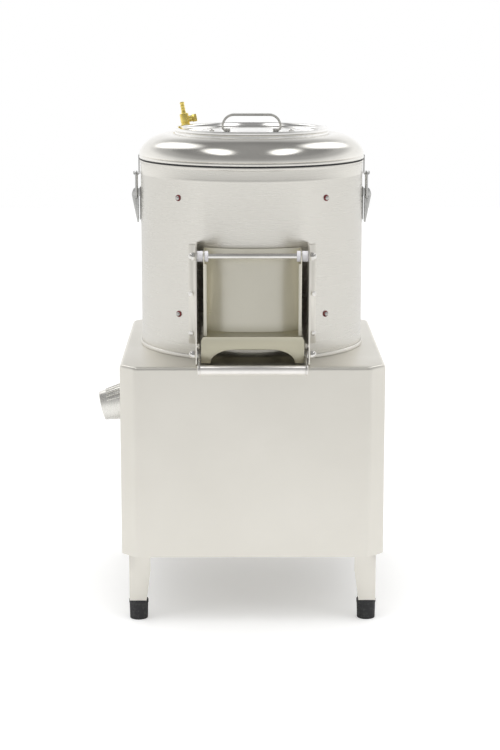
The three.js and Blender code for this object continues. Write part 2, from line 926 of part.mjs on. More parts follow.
function legGeometry() {
  const top = baseBottom - gap;
  const tabBottom = footHeight + gap;
  const taperTop = cabinetBottom - legStraight;
  const flange = [
    [0, tabBottom], [0, top], [-legWidth, top], [-legWidth, taperTop], [-legToeWidth, tabBottom],
  ];
  const frontFlange = prismY(flange.map(([a, z]) => [legCornerX + a, z]), -legCornerY, -legCornerY + legWall);
  const sideFlange = prismX(flange.map(([a, z]) => [-legCornerY - a, z]), legCornerX - legWall, legCornerX);
  const plateFar = [legCornerX - legPlateSize, -legCornerY + legPlateSize];
  const plate = box(plateFar[0], legCornerX, -legCornerY, plateFar[1], top - legPlateWall, top);
  const toe = [legCornerX - legToeWidth, -legCornerY + legToeWidth];
  const tab = box(toe[0], legCornerX, -legCornerY, toe[1], tabBottom, tabBottom + legTabWall);
  const leg = joined(frontFlange, sideFlange, plate, tab);
  const outerCorner = prismZ([
    [legCornerX + overrun, -legCornerY - overrun], [legCornerX + overrun, -legCornerY + legWall],
    [legCornerX - legWall, -legCornerY - overrun],
  ], tabBottom - overrun, top + overrun);
  return carved(leg, outerCorner);
}

function footGeometry() {
  const rimBottom = footHeight - 4 * footEdge;
  return turned([
    [0, 0], [footSoleRadius - footEdge / 2, 0], [footSoleRadius, footEdge / 2],
    [footRadius - footEdge / 2, rimBottom], [footRadius, rimBottom + footEdge / 2],
    [footRadius, footHeight], [0, footHeight],
  ], footSides).translate(footX, -footY, 0);
}

function legsAndFeet() {
  const places = [['front_right', 1, 1], ['front_left', -1, 1], ['rear_right', 1, -1], ['rear_left', -1, -1]];
  const leg = legGeometry();
  const foot = closed(footGeometry());
  for (const [name, sideX, sideY] of places) {
    add(`leg_${name}`, mirrored(leg, sideX, sideY), finishes.satin);
    add(`foot_${name}`, mirrored(foot, sideX, sideY), finishes.rubber);
  }
}

// Drum

function outletCutter(extra) {
  const half = outletWidth / 2 + extra;
  return prismY(
    rectangle(-half, half, outletBottom - extra, outletTop + extra, outletCorner),
    -drumRadius - overrun, -drumRadius * Math.SQRT1_2,
  );
}

const linerScrews = [
  ['upper_left', -1, linerScrewHigh], ['upper_right', 1, linerScrewHigh],
  ['lower_left', -1, linerScrewLow], ['lower_right', 1, linerScrewLow],
];

// A shape made along +Z from the drum's axis outward, laid to a point of the drum's front.
function layOnDrum(geometry, reach, height) {
  const angle = Math.asin(reach / drumRadius);
  return geometry.clone().rotateX(Math.PI / 2).rotateZ(angle).translate(0, 0, height);
}

function screwHoles(radius) {
  const inside = drumRadius - drumWall - linerWall - overrun;
  const hole = rodZ(radius, inside, drumRadius + overrun, 0, 0, screwSides);
  return linerScrews.map(([, side, height]) => layOnDrum(hole, side * linerScrewSpread, height));
}

function drumShell() {
  const swageLow = swageCentre - swageHeight / 2;
  const swageHigh = swageCentre + swageHeight / 2;
  const rollBottom = drumTop - rimRollHeight;
  const shell = turned([
    [drumInside, floorBottom], [drumRadius, floorBottom], [drumRadius, swageLow],
    [drumRadius + swageRise, swageCentre], [drumRadius, swageHigh], [drumRadius, rollBottom],
    [drumRadius + rimRollRise, rollBottom + rimRollRise], [drumRadius + rimRollRise, drumTop],
    [drumInside, drumTop],
  ], drumSides);
  add('drum_shell', carved(shell, outletCutter(0), ...screwHoles(linerScrewRadius + gap)), finishes.satin);
}

function drumBaseRing() {
  const inside = drumRadius + gap;
  const ring = turned([
    [drumInside - ringFlange, ringBottom], [ringRadius, ringBottom],
    [ringRadius, ringBottom + ringHeight - ringWall], [inside, ringBottom + ringHeight],
    [inside, ringBottom + ringWall], [drumInside - ringFlange, ringBottom + ringWall],
  ], drumSides);
  add('drum_base_ring', ring, finishes.satin);
}

function drumFloor() {
  const edge = drumInside - gap;
  const inner = collarRadius - collarWall;
  const collarTop = floorTop + collarHeight;
  const floor = turned([
    [inner, floorBottom], [edge, floorBottom], [edge, floorTop], [collarRadius, floorTop],
    [collarRadius, collarTop], [inner, collarTop],
  ], drumSides);
  const [low, high] = [floorBottom - overrun, floorTop + overrun];
  const drain = rodZ(drainRadius + gap, low, high, -drainSide, drainBack, machinedSides);
  add('drum_floor', carved(floor, drain), finishes.satin);
}

function abrasiveLiner() {
  const outer = drumInside - linerGap;
  const inner = outer - linerWall;
  const sleeve = turned([
    [inner, linerBottom], [outer, linerBottom], [outer, linerTop], [inner, linerTop],
  ], drumSides);
  const liner = carved(sleeve, outletCutter(linerRelief), ...screwHoles(linerScrewRadius + gap));
  add('abrasive_liner', liner, finishes.abrasive);
}

function linerScrewSet() {
  const seat = drumRadius + gap;
  const inside = drumInside - linerGap - linerWall;
  const headSeat = seat + washerHeight;
  const headTop = headSeat + screwHeadHeight;
  const screw = turned([
    [0, inside], [linerScrewRadius, inside], [linerScrewRadius, seat], [washerRadius, seat],
    [washerRadius, headSeat], [screwHeadRadius, headSeat], [screwHeadRadius, headTop - screwHeadHeight / 2],
    [screwHeadRadius / 2, headTop], [0, headTop],
  ], screwSides);
  for (const [name, side, height] of linerScrews) {
    add(`liner_screw_${name}`, layOnDrum(screw, side * linerScrewSpread, height), finishes.polished);
  }
}

// Abrasive disc: a polar grid whose top rises in broad waves round the spindle

function discTop(radius, angle) {
  const share = radius / discRadius;
  const swell = Math.sin(Math.PI * Math.min(share, 1)) * waveHeight;
  const crown = discRise * (1 - share * share);
  return discBottom + discEdge + crown + (swell / 2) * (1 + Math.cos(waveCount * angle));
}

function waveDisc() {
  const radii = discRingShares.map((share) => share * discRadius);
  const bore = spindleThreadRadius + gap;
  const skirtOuter = discSkirtRadius + discSkirtWall;
  const skirtBottom = discBottom - discSkirtDrop;
  const rows = [];
  for (let i = 0; i < drumSides; i += 1) {
    const angle = (2 * Math.PI * i) / drumSides;
    const at = (radius, height) => new THREE.Vector3(radius * Math.cos(angle), radius * Math.sin(angle), height);
    rows.push([
      at(bore, discBottom), at(bore, discHubTop), at(discHubRadius, discHubTop),
      ...radii.map((radius) => at(Math.max(radius, discHubRadius + waveHeight), discTop(radius, angle))),
      at(discRadius, discBottom), at(skirtOuter, discBottom), at(skirtOuter, skirtBottom),
      at(discSkirtRadius, skirtBottom), at(discSkirtRadius, discBottom),
    ]);
  }
  return skin(rows, true);
}

function abrasiveDisc() {
  add('abrasive_disc', waveDisc(), finishes.abrasive);
}

function discNut() {
  const top = discNutSeat + discNutHeight;
  const hex = hexZ(discNutRadius, discNutSeat, top, 0, 0);
  const domeRadius = discNutRadius * nutDomeShare;
  const dome = turned([
    [0, top - discNutDome], [domeRadius, top - discNutDome], [domeRadius, top + discNutDome / 3],
    [discNutRadius * nutCrownShare, top + discNutDome * nutDomeShare], [0, top + discNutDome],
  ], smallSides);
  const bore = rodZ(spindleThreadRadius + gap, discNutSeat - overrun, spindleThreadEnd + gap, 0, 0, smallSides);
  add('disc_nut', carved(joined(hex, dome), bore), finishes.polished);
}

// Lid

// The shoulder follows a superellipse from the top of the band to the crown.
function lidShoulder() {
  const bandTop = lidBottom + lidBand + lidCrease;
  const points = [];
  for (let i = 0; i <= lidSteps; i += 1) {
    const angle = (Math.PI / 2) * (i / lidSteps);
    const across = Math.max(Math.cos(angle), 0) ** (2 / lidFullness);
    const up = Math.sin(angle) ** (2 / lidFullness);
    points.push([lidCrownRadius + lidCrownInset * across, bandTop + (lidCrown - bandTop) * up]);
  }
  return points;
}

function lidLine(crease) {
  return [
    [lidRadius, lidBottom], ...crease, ...lidShoulder(), [lidSeatRadius + lidWall, lidCrown],
    [lidSeatRadius, lidSeat], [lidMouthRadius, lidSeat], [lidMouthRadius, lidSeat - lidNeck],
  ];
}

function catchGeometry(side) {
  const hookTop = bailTopHeight - bailRadius - catchHookClearance;
  const hookLine = [
    [catchPlateReach + catchWall, catchTop], [catchPlateReach + catchWall, hookTop],
    [catchLipReach, hookTop], [catchLipReach, catchLipTop],
  ];
  return mirrored(prismY(strip(hookLine, -catchWall), -catchHalf, catchHalf), side, 1);
}

// The water inlet stands on the lid's shoulder and leans outward.
function inletCarrier() {
  const reach = Math.hypot(inletSide, inletBack);
  const angle = Math.atan2(inletBack, -inletSide);
  const shoulder = lidShoulder();
  const [outer, inner] = shoulder.slice(-2);
  const share = (outer[0] - reach) / (outer[0] - inner[0]);
  const height = outer[1] + (inner[1] - outer[1]) * share;
  const lean = THREE.MathUtils.degToRad(inletLeanDegrees);
  const tilt = new THREE.Matrix4().makeRotationZ(angle)
    .multiply(new THREE.Matrix4().makeRotationY(lean))
    .multiply(new THREE.Matrix4().makeRotationZ(-angle));
  const group = new THREE.Group();
  group.position.set(-inletSide, inletBack, height);
  group.rotation.setFromRotationMatrix(tilt);
  group.updateMatrix();
  return group;
}

function domeLid() {
  const crease = [[lidRadius, lidBottom + lidBand - lidCrease], [lidRadius - lidCrease, lidBottom + lidBand]];
  const shell = turned([...lidLine(crease), ...beside(lidLine([]), lidWall).reverse()], drumSides);
  const hole = rodZ(inletSpigotRadius + gap, -2 * overrun, 2 * overrun, 0, 0, smallSides);
  const lid = carved(shell, hole.applyMatrix4(inletCarrier().matrix));
  add('dome_lid', joined(lid, catchGeometry(1), catchGeometry(-1)), finishes.polished);
}

function lidSeal() {
  const outer = lidRadius - lidCrease;
  const bottom = drumTop + gap;
  const seal = turned([
    [outer - sealWidth, bottom], [outer, bottom],
    [outer, bottom + sealWall], [outer - sealWidth, bottom + sealWall],
  ], drumSides);
  add('lid_seal', seal, finishes.rubber);
}

function coverRim() {
  const half = coverBottom + coverBeads / 2;
  const inner = coverRadius - coverBeadGroove;
  return [
    [inner, coverTop], [coverRadius, coverTop - coverBeadGroove], [coverRadius, half + coverBeadGroove],
    [inner, half], [coverRadius, half - coverBeadGroove], [coverRadius, coverBottom + coverBeadGroove],
    [inner, coverBottom],
  ];
}

function coverScrew(side) {
  const seat = coverFloor - coverWall / 2;
  const top = coverFloor + coverScrewHeight;
  return turned([
    [0, seat], [coverScrewRadius, seat], [coverScrewRadius, top - coverScrewHeight / 2],
    [coverScrewRadius / 2, top], [0, top],
  ], screwSides).translate(side * coverScrewSpread, 0, 0);
}

function feedCover() {
  const underside = coverFloor - coverWall;
  const spigotBottom = coverBottom - coverSpigotDrop;
  const body = turned([
    [0, coverFloor], [coverFloorRadius, coverFloor], [coverFloorRadius + 2 * coverWall, coverTop],
    ...coverRim(), [coverSpigotRadius, coverBottom], [coverSpigotRadius, spigotBottom],
    [coverSpigotRadius - coverWall, spigotBottom], [coverSpigotRadius - coverWall, underside], [0, underside],
  ], coverSides);
  add('feed_cover', joined(body, coverScrew(-1), coverScrew(1)), finishes.polished);
}

// The handle's outside, from one foot up, across and down to the other
function handleLine() {
  const bottom = coverFloor + gap;
  const top = bottom + handleRise;
  return rounded([
    [handleFootEnd, bottom, 0], [handleHalf, bottom, handleFootBend], [handleHalf, top, handleTopBend],
    [-handleHalf, top, handleTopBend], [-handleHalf, bottom, handleFootBend], [-handleFootEnd, bottom, 0],
  ], handleSteps);
}

function coverHandle() {
  const handle = prismY(strip(handleLine(), handleStrap), -handleWidth / 2, handleWidth / 2);
  add('cover_handle', handle, finishes.polished);
}

// Water inlet: turned fittings on the slope of the lid

function barbProfile() {
  const base = inletBodyHeight + gap;
  const profile = [[barbBoreRadius, base], [barbRadius, base]];
  for (let k = 0; k < barbCount; k += 1) {
    const low = base + k * barbPitch;
    profile.push([barbRadius, low + barbPitch * barbConeShare], [barbRadius - barbStep, low + barbPitch]);
  }
  profile.push([barbBoreRadius, base + barbCount * barbPitch]);
  return profile;
}

function waterInlet() {
  const carrier = inletCarrier();
  machine.add(carrier);
  const neck = inletSeat + gap;
  const column = turned([
    [0, -inletSpigotDrop], [inletSpigotRadius, -inletSpigotDrop], [inletSpigotRadius, neck],
    [inletBodyRadius, neck], [inletBodyRadius, inletBodyHeight - inletBodyEdge],
    [inletBodyRadius - inletBodyEdge, inletBodyHeight], [0, inletBodyHeight],
  ], smallSides);
  const hex = hexZ(inletHexRadius, inletSeat, inletSeat + inletHexHeight, 0, 0);
  const end = inletBranchLength;
  const branch = rodX(inletBranchRadius, 0, end, 0, inletBranchHeight, smallSides);
  const plug = rodX(inletPlugRadius, end - inletPlugLength, end, 0, inletBranchHeight, hexSides);
  const socket = rodX(inletSocketRadius, end - inletSocketDepth, end + overrun, 0, inletBranchHeight, hexSides);
  const bore = rodZ(barbBoreRadius, -inletSpigotDrop - overrun, inletBodyHeight + overrun, 0, 0, screwSides);
  add('inlet_elbow', carved(joined(column, hex, branch, plug), socket, bore), finishes.brass, carrier);
  add('hose_barb', turned(barbProfile(), smallSides), finishes.brass, carrier);
}

// Outlet cheeks, made for the right side and mirrored for the left

function cheekOutline() {
  const back = Math.sqrt((drumRadius + gap) ** 2 - cheekOuter ** 2);
  const clearBack = Math.sqrt((ringRadius + gap) ** 2 - cheekInner ** 2);
  return rounded([
    [-back, cheekFlangeBottom, 0], [-clearBack - gap, cheekFlangeBottom, 0],
    [-clearBack - gap, cheekBottom, 0], [-cheekForward, cheekBottom, cheekLowCorner],
    [-cheekTopForward, cheekTop, cheekTopCorner], [-back, cheekTop, 0],
  ]);
}

function cheekFlange() {
  const inner = drumRadius + gap;
  const outer = inner + cheekFlangeWall;
  const start = Math.asin(cheekInner / inner) - Math.PI / 2;
  const end = Math.asin(cheekFlangeReach / outer) - Math.PI / 2;
  const inside = arcPoints(0, 0, inner, start, end, flangeSteps);
  const outside = arcPoints(0, 0, outer, end, start, flangeSteps);
  return prismZ([...inside, ...outside], cheekFlangeBottom, cheekFlangeTop);
}

function cheekGeometry() {
  const seat = drumRadius + gap;
  const plate = prismX(cheekOutline(), cheekInner, cheekOuter);
  const headTop = seat + cheekFlangeWall + cheekScrewHeight;
  const screw = rodZ(cheekScrewRadius, seat + cheekFlangeWall / 2, headTop, 0, 0, screwSides);
  const screws = [cheekScrewHigh, cheekScrewLow].map((height) => layOnDrum(screw, cheekScrewReach, height));
  const [low, high] = [cheekInner - overrun, cheekOuter + overrun];
  const stopEnd = cheekInner + cheekWall / 2;
  const stop = rodX(stopRadius, cheekInner - stopReach, stopEnd, -stopForward, stopHeight, screwSides);
  return carved(
    joined(plate, cheekFlange(), stop, ...screws),
    rodX(rodRadius + pinGap, low, high, -hingeForward, hingeHeight, smallSides),
    rodX(pivotRadius + pinGap, low, high, -pivotForward, pivotHeight, smallSides),
    rodZ(seat, cheekBottom - overrun, cheekTop + overrun, 0, 0, drumSides),
  );
}

function cheeks() {
  const cheek = cheekGeometry();
  add('cheek_right', cheek, finishes.satin);
  add('cheek_left', mirrored(cheek, -1, 1), finishes.satin);
}

function chuteFloor() {
  const half = cheekInner - gap;
  const slope = (chuteBackHeight - chuteFrontHeight) / (chuteFront - drumRadius);
  const back = Math.sqrt(drumRadius ** 2 - half ** 2) - overrun;
  const backHeight = chuteBackHeight + (drumRadius - back) * slope;
  const side = [
    [-back, backHeight], [-chuteFront, chuteFrontHeight],
    [-chuteFront, chuteFrontHeight - chuteWall], [-back, backHeight - chuteWall],
  ];
  const notches = [-1, 1].map((sign) => box(
    sign * (armInner - chuteNotchSide), sign * (half + overrun),
    -chuteFront - overrun, -chuteNotchBack, chuteFrontHeight - overrun, backHeight,
  ));
  const drum = rodZ(drumRadius + gap, cheekBottom - overrun, backHeight + overrun, 0, 0, drumSides);
  add('chute_floor', carved(prismX(side, -half, half), drum, ...notches), finishes.satin);
}

// A cap nut outside a cheek, as a profile along +X from its seat
function capNutProfile(shank, shankRadius, domeRadius, hexLength, domeLength) {
  const hexEnd = gap + hexLength;
  const shoulder = [domeRadius * capNutShoulderShare, hexEnd + domeLength * capNutRiseShare];
  return [
    [0, -shank], [shankRadius, -shank], [shankRadius, hexEnd - hexLength / 2],
    [domeRadius, hexEnd - hexLength / 2], [domeRadius, hexEnd], shoulder, [0, hexEnd + domeLength],
  ];
}

function hingeRod() {
  const end = cheekOuter + capNutHex;
  const bar = rodX(rodRadius, -end, end, -hingeForward, hingeHeight, smallSides);
  const profile = capNutProfile(overrun, rodRadius - gap, capNutDomeRadius, capNutHex, capNutDome);
  const dome = turnedX(profile, smallSides, cheekOuter, -hingeForward, hingeHeight);
  const hex = rodX(capNutRadius, cheekOuter + gap, end + gap, -hingeForward, hingeHeight, hexSides);
  const nut = joined(dome, hex);
  add('hinge_rod', joined(bar, nut, mirrored(nut, -1, 1)), finishes.polished);
}

function bush(name, x0, x1) {
  const ring = turnedX(
    [[rodRadius + pinGap, 0], [bushRadius, 0], [bushRadius, x1 - x0], [rodRadius + pinGap, x1 - x0]],
    smallSides, x0, -hingeForward, hingeHeight,
  );
  add(name, ring, finishes.bush);
}

function bushes() {
  const earInner = doorHalf;
  const earOuter = doorHalf + earWall;
  bush('bush_outer_right', earOuter + gap, cheekInner - gap);
  bush('bush_inner_right', earInner - gap - innerBushLength, earInner - gap);
  bush('bush_outer_left', -cheekInner + gap, -earOuter - gap);
  bush('bush_inner_left', -earInner + gap, -earInner + gap + innerBushLength);
}

// Door: rolled panel, two ears, a ledge and an arched apron

function doorPanel() {
  const inner = doorRadius - doorWall;
  const start = -Math.PI / 2 - Math.asin(doorHalf / doorRadius);
  const end = -Math.PI / 2 + Math.asin(doorHalf / doorRadius);
  const outside = arcPoints(0, 0, doorRadius, start, end, doorSteps);
  const inside = arcPoints(0, 0, inner, end, start, doorSteps);
  return prismZ([...outside, ...inside], doorBottom, doorTop);
}

function doorEar(side) {
  const back = Math.sqrt((doorRadius - doorWall) ** 2 - doorHalf ** 2);
  const foot = ledgeTop - doorWall / 2;
  const aroundRod = arcPoints(-hingeForward, hingeHeight, earRadius, Math.PI, Math.PI / 4, earSteps);
  const outline = [
    [-earForward, foot], [-earForward, hingeHeight - earRadius], ...aroundRod, [-back, doorTop], [-back, foot],
  ];
  const plate = prismX(outline, side * doorHalf, side * (doorHalf + earWall));
  const [lipInside, lipOutside] = [side * (doorHalf - earLip), side * (doorHalf + earWall / 2)];
  const lip = box(lipInside, lipOutside, -earForward, -earForward + doorWall, foot, earLipTop);
  return joined(plate, lip);
}

function doorLedge() {
  const front = -apronForward + doorWall / 2;
  const halfAngle = Math.asin(ledgeHalf / doorRadius);
  const middle = doorRadius - doorWall / 2;
  const back = arcPoints(0, 0, middle, -Math.PI / 2 + halfAngle, -Math.PI / 2 - halfAngle, doorSteps);
  return prismZ([[-ledgeHalf, front], [ledgeHalf, front], ...back], ledgeTop - doorWall, ledgeTop);
}

function apronOutline() {
  const run = archHalf - archFlatHalf;
  const right = [];
  for (let i = 0; i <= archSteps; i += 1) {
    const angle = (Math.PI / 2) * (i / archSteps);
    right.push([archFlatHalf + run * Math.cos(angle), apronBottom + archRise * Math.sin(angle)]);
  }
  const left = right.map(([x, z]) => [-x, z]).reverse();
  const cornerLow = ledgeTop - apronCorner;
  return [
    [apronHalf, apronBottom], ...right, ...left, [-apronHalf, apronBottom],
    [-apronHalf, cornerLow], [-ledgeHalf, ledgeTop], [ledgeHalf, ledgeTop], [apronHalf, cornerLow],
  ];
}

function outletDoor() {
  const apron = prismY(apronOutline(), -apronForward, -apronForward + doorWall);
  const door = joined(doorPanel(), doorEar(1), doorEar(-1), doorLedge(), apron);
  const bore = rodX(rodRadius + pinGap, -cheekInner, cheekInner, -hingeForward, hingeHeight, smallSides);
  add('outlet_door', carved(door, bore), finishes.satin);
}

// Locking bar

function lockingBar() {
  const link = linkOutline([-pivotForward, pivotHeight], armRootRadius, [-barForward, barHeight], armEndRadius);
  const arms = [prismX(link, armInner, armInner + armWall), prismX(link, -armInner - armWall, -armInner)];
  const endRadius = barRadius - barEndChamfer;
  const fullHalf = barHalf - barEndChamfer;
  const grip = turnedX([
    [0, -barHalf], [endRadius, -barHalf], [barRadius, -fullHalf],
    [barRadius, fullHalf], [endRadius, barHalf], [0, barHalf],
  ], machinedSides, 0, -barForward, barHeight);
  const bore = rodX(pivotRadius + pinGap, -cheekInner, cheekInner, -pivotForward, pivotHeight, smallSides);
  add('locking_bar', carved(joined(grip, ...arms), bore), finishes.polished);
}

function pivotBolt(name, side) {
  const armOuter = armInner + armWall;
  const inside = armInner - gap;
  const headEnd = inside - pivotHeadLength;
  const nutSeat = cheekOuter + gap;
  const shank = rodX(pivotRadius, headEnd, cheekOuter + capNutHex, -pivotForward, pivotHeight, smallSides);
  const head = rodX(pivotHeadRadius, headEnd, inside, -pivotForward, pivotHeight, hexSides);
  const washerSeat = armOuter + gap;
  const washer = rodX(pivotWasherRadius, washerSeat, cheekInner - gap, -pivotForward, pivotHeight, smallSides);
  const hex = rodX(capNutRadius, nutSeat, nutSeat + capNutHex, -pivotForward, pivotHeight, hexSides);
  const profile = capNutProfile(overrun, pivotRadius - gap, capNutDomeRadius, capNutHex, capNutDome);
  const dome = turnedX(profile, smallSides, cheekOuter, -pivotForward, pivotHeight);
  add(name, mirrored(joined(shank, head, washer, hex, dome), side, 1), finishes.polished);
}

// Toggle latches

function latchPlate(side) {
  const face = drumRadius + gap;
  const front = face + latchPlateWall;
  const plate = box(face, front, -latchPlateHalf, latchPlateHalf, latchPlateBottom, latchPlateTop);
  const root = front - latchPlateWall / 2;
  const outline = [
    ...arcPoints(latchPinReach, latchPinHeight, latchEarRadius, Math.PI / 2, -Math.PI / 2, earSteps),
    [root, latchPinHeight - latchEarRadius], [root, latchPlateTop - latchEarRadius / 2],
  ];
  const earInside = latchEarHalf - latchEarWall;
  const ears = [-1, 1].map((sign) => prismY(outline, sign * latchEarHalf, sign * earInside));
  const stubStart = latchEarHalf - latchEarWall / 2;
  const stubEnd = leverHalf - leverWall - gap;
  const stubs = [-1, 1].map((sign) => rodY(
    latchPinRadius, sign * stubStart, sign * stubEnd, latchPinReach, latchPinHeight, screwSides,
  ));
  return mirrored(joined(plate, ...ears, ...stubs), side, 1);
}

function leverGeometry(side) {
  const earClear = latchEarHalf - latchEarWall - gap;
  const outline = rounded([
    [leverInner, leverTopHeight - latchEarRadius, 0], [leverInner, leverTipHeight, 0],
    [leverInner + leverTipWidth, leverTipHeight, 0],
    [leverWide, latchPinHeight - latchEarRadius / 2, 3 * latchPinRadius],
    [leverWide - latchEarRadius / 2, leverTopHeight, 2 * latchPinRadius],
    [leverInner + latchEarRadius / 2, leverTopHeight, latchPinRadius],
  ]);
  const body = prismY(outline, -earClear, earClear);
  const share = (leverForkHeight - leverTipHeight) / (latchPinHeight - leverTipHeight);
  const forkReach = leverInner + leverTipWidth + (leverDepth - leverTipWidth) * share;
  const inside = earClear - leverWall;
  const channelFoot = leverTipHeight + 3 * leverWall;
  const channel = prismY([
    [leverInner - overrun, channelFoot], [leverInner + leverTipWidth - leverWall, channelFoot],
    [forkReach - leverWall, leverForkHeight], [leverWide + overrun, leverForkHeight],
    [leverWide + overrun, leverTopHeight + overrun], [leverInner - overrun, leverTopHeight + overrun],
  ], -inside, inside);
  const ends = [-latchEarHalf, latchEarHalf];
  const pin = rodY(latchPinRadius + pinGap, ...ends, latchPinReach, latchPinHeight, screwSides);
  const bailPin = rodY(bailRadius + pinGap, ...ends, bailReach, bailFootHeight, screwSides);
  return mirrored(carved(body, channel, pin, bailPin), side, 1);
}

// The bail is a wire loop whose two feet turn in the lever's sides.
function bailGeometry(side) {
  const loop = rounded([
    [-bailFootEnd, bailFootHeight, 0], [-bailLegHalf, bailFootHeight, bailFootBend],
    [-bailLegHalf, bailTopHeight, bailTopBend], [bailLegHalf, bailTopHeight, bailTopBend],
    [bailLegHalf, bailFootHeight, bailFootBend], [bailFootEnd, bailFootHeight, 0],
  ], bailSteps);
  const path = loop.map(([y, z]) => new THREE.Vector3(bailReach, y, z));
  return mirrored(pipeAlong(path, bailRadius, screwSides), side, 1);
}

function latches() {
  for (const [name, side] of [['right', 1], ['left', -1]]) {
    add(`latch_plate_${name}`, latchPlate(side), finishes.zinc);
    add(`latch_lever_${name}`, leverGeometry(side), finishes.zinc);
    add(`latch_bail_${name}`, bailGeometry(side), finishes.zinc);
  }
}

// Timer knob: a tapered grip that droops, with ribs on two sides, cut flat where it meets the cabinet

function knobRibs() {
  const taper = Math.atan((knobBaseRadius - knobEndRadius) / knobLength);
  const ribs = [];
  for (const start of [0, halfTurnDegrees]) {
    for (let k = 0; k < knobRibCount; k += 1) {
      const turn = knobRibCentreDegrees + start + (k - (knobRibCount - 1) / 2) * knobRibPitchDegrees;
      const half = knobRibWidth / 2;
      const rib = box(-knobEdge, knobRibRise, -half, half, -knobRibLength, knobRibLength);
      rib.rotateY(-taper).translate(knobBaseRadius, 0, 0);
      ribs.push(rib.rotateZ(THREE.MathUtils.degToRad(turn)));
    }
  }
  return ribs;
}

function knobGeometry() {
  const droop = THREE.MathUtils.degToRad(knobDroopDegrees);
  const root = knobBaseRadius * Math.tan(droop) + overrun;
  const taper = (knobBaseRadius - knobEndRadius) / knobLength;
  const cone = turned([
    [0, -root], [knobBaseRadius + root * taper, -root],
    [knobEndRadius + knobEdge * taper, knobLength - knobEdge], [knobEndRadius - knobEdge, knobLength],
    [0, knobLength],
  ], coverSides);
  const grip = joined(cone, ...knobRibs()).rotateX(droop);
  const wide = 2 * knobBaseRadius;
  const cabinetSpace = box(-wide, wide, -wide, wide, -2 * wide, gap);
  const shaft = rodZ(knobShaftRadius, -knobShaftLength, knobEdge, 0, 0, smallSides);
  return joined(carved(grip, cabinetSpace), shaft);
}

// The knob is turned about Z and laid on the cabinet's left side.
function timerKnob() {
  const lay = new THREE.Matrix4().set(
    0, 0, -1, -cabinetSide,
    1, 0, 0, -knobForward,
    0, 1, 0, knobHeight,
    0, 0, 0, 1,
  );
  add('timer_knob', closed(knobGeometry().applyMatrix4(lay)), finishes.satin);
}

function timerBody() {
  const face = -cabinetSide + sheetWall + gap;
  const half = timerBodySize / 2;
  const [front, back] = [-knobForward - half, -knobForward + half];
  const outline = rectangle(front, back, knobHeight - half, knobHeight + half, timerCorner);
  const block = prismX(outline, face, face + timerBodyDepth);
  const neck = rodX(timerNeckRadius, -cabinetSide, face + overrun, -knobForward, knobHeight, smallSides);
  const boreEnd = -cabinetSide + knobShaftLength + gap;
  const bore = rodX(
    knobShaftRadius + gap, -cabinetSide - overrun, boreEnd, -knobForward, knobHeight, smallSides,
  );
  add('timer_body', carved(joined(block, neck), bore), finishes.housing);
}

// Spindle, bearings and housing

function spindle() {
  const shaft = turned([
    [0, spindleFoot], [spindleRadius - spindleEdge, spindleFoot], [spindleRadius, spindleFoot + spindleEdge],
    [spindleRadius, spindleShoulder], [spindleThreadRadius, spindleShoulder],
    [spindleThreadRadius, spindleThreadEnd], [0, spindleThreadEnd],
  ], machinedSides);
  add('spindle', shaft, finishes.machined);
}

function bearing(name, bottom) {
  const top = bottom + bearingHeight;
  const inner = spindleRadius + pinGap;
  const [innerRace, outerRace] = [inner + bearingRaceWidth, bearingRadius - bearingRaceWidth];
  const profile = [
    [inner, bottom], [bearingRadius, bottom], [bearingRadius, top], [outerRace, top],
    [outerRace, top - bearingRecess], [innerRace, top - bearingRecess], [innerRace, top], [inner, top],
  ];
  add(name, turned(profile, machinedSides), finishes.machined);
}

function bearingHousing() {
  const bore = bearingRadius + gap;
  const lowSeat = housingBottom + bearingHeight + gap;
  const highSeat = housingTop - housingTopSeat;
  const flangeBottom = housingTop - housingFlangeHeight;
  const tube = turned([
    [bore, housingBottom], [housingRadius, housingBottom], [housingRadius, flangeBottom],
    [housingFlangeRadius, flangeBottom], [housingFlangeRadius, housingTop], [bore, housingTop],
    [bore, highSeat], [housingThroatRadius, highSeat], [housingThroatRadius, lowSeat], [bore, lowSeat],
  ], machinedSides);
  const ribRoot = housingRadius - housingRibSink;
  const ribTop = flangeBottom + housingRibSink;
  const ribFoot = flangeBottom - housingRibDrop;
  const outline = [
    [ribRoot, ribTop], [ribRoot, ribFoot], [housingRadius + housingRibSink / 2, ribFoot],
    [housingFlangeRadius - 2 * housingRibSink, ribTop],
  ];
  const ribs = [];
  for (let k = 0; k < housingRibCount; k += 1) {
    const rib = prismY(outline, -housingRibWall / 2, housingRibWall / 2);
    ribs.push(rib.rotateZ((Math.PI * (2 * k + 1)) / housingRibCount));
  }
  add('bearing_housing', joined(tube, ...ribs), finishes.cast);
  bearing('bearing_lower', housingBottom);
  bearing('bearing_upper', highSeat + gap);
}

function shaftSeal() {
  const bearingTop = housingTop - housingTopSeat + gap + bearingHeight;
  const bottom = bearingTop + gap;
  const inner = spindleRadius + pinGap;
  const seal = turned([
    [inner, bottom], [bearingRadius, bottom], [bearingRadius, bottom + sealHeight],
    [inner + bearingRaceWidth, bottom + sealHeight], [inner, bottom + sealHeight / 2],
  ], machinedSides);
  add('shaft_seal', seal, finishes.rubber);
}

// Pulleys: a V groove in the rim, and lightening holes through the web of the large one

function groovePoints(pitchRadius) {
  const rim = pitchRadius + beltHeight / 2;
  const root = pitchRadius - beltHeight / 2 - 3 * beltGap;
  const halfTop = beltTopWidth / 2 + beltGap;
  const halfRoot = beltBottomWidth / 2 + beltGap / 2;
  return [
    [rim, beltPlane - pulleyHeight / 2], [rim, beltPlane - halfTop], [root, beltPlane - halfRoot],
    [root, beltPlane + halfRoot], [rim, beltPlane + halfTop], [rim, beltPlane + pulleyHeight / 2],
  ];
}

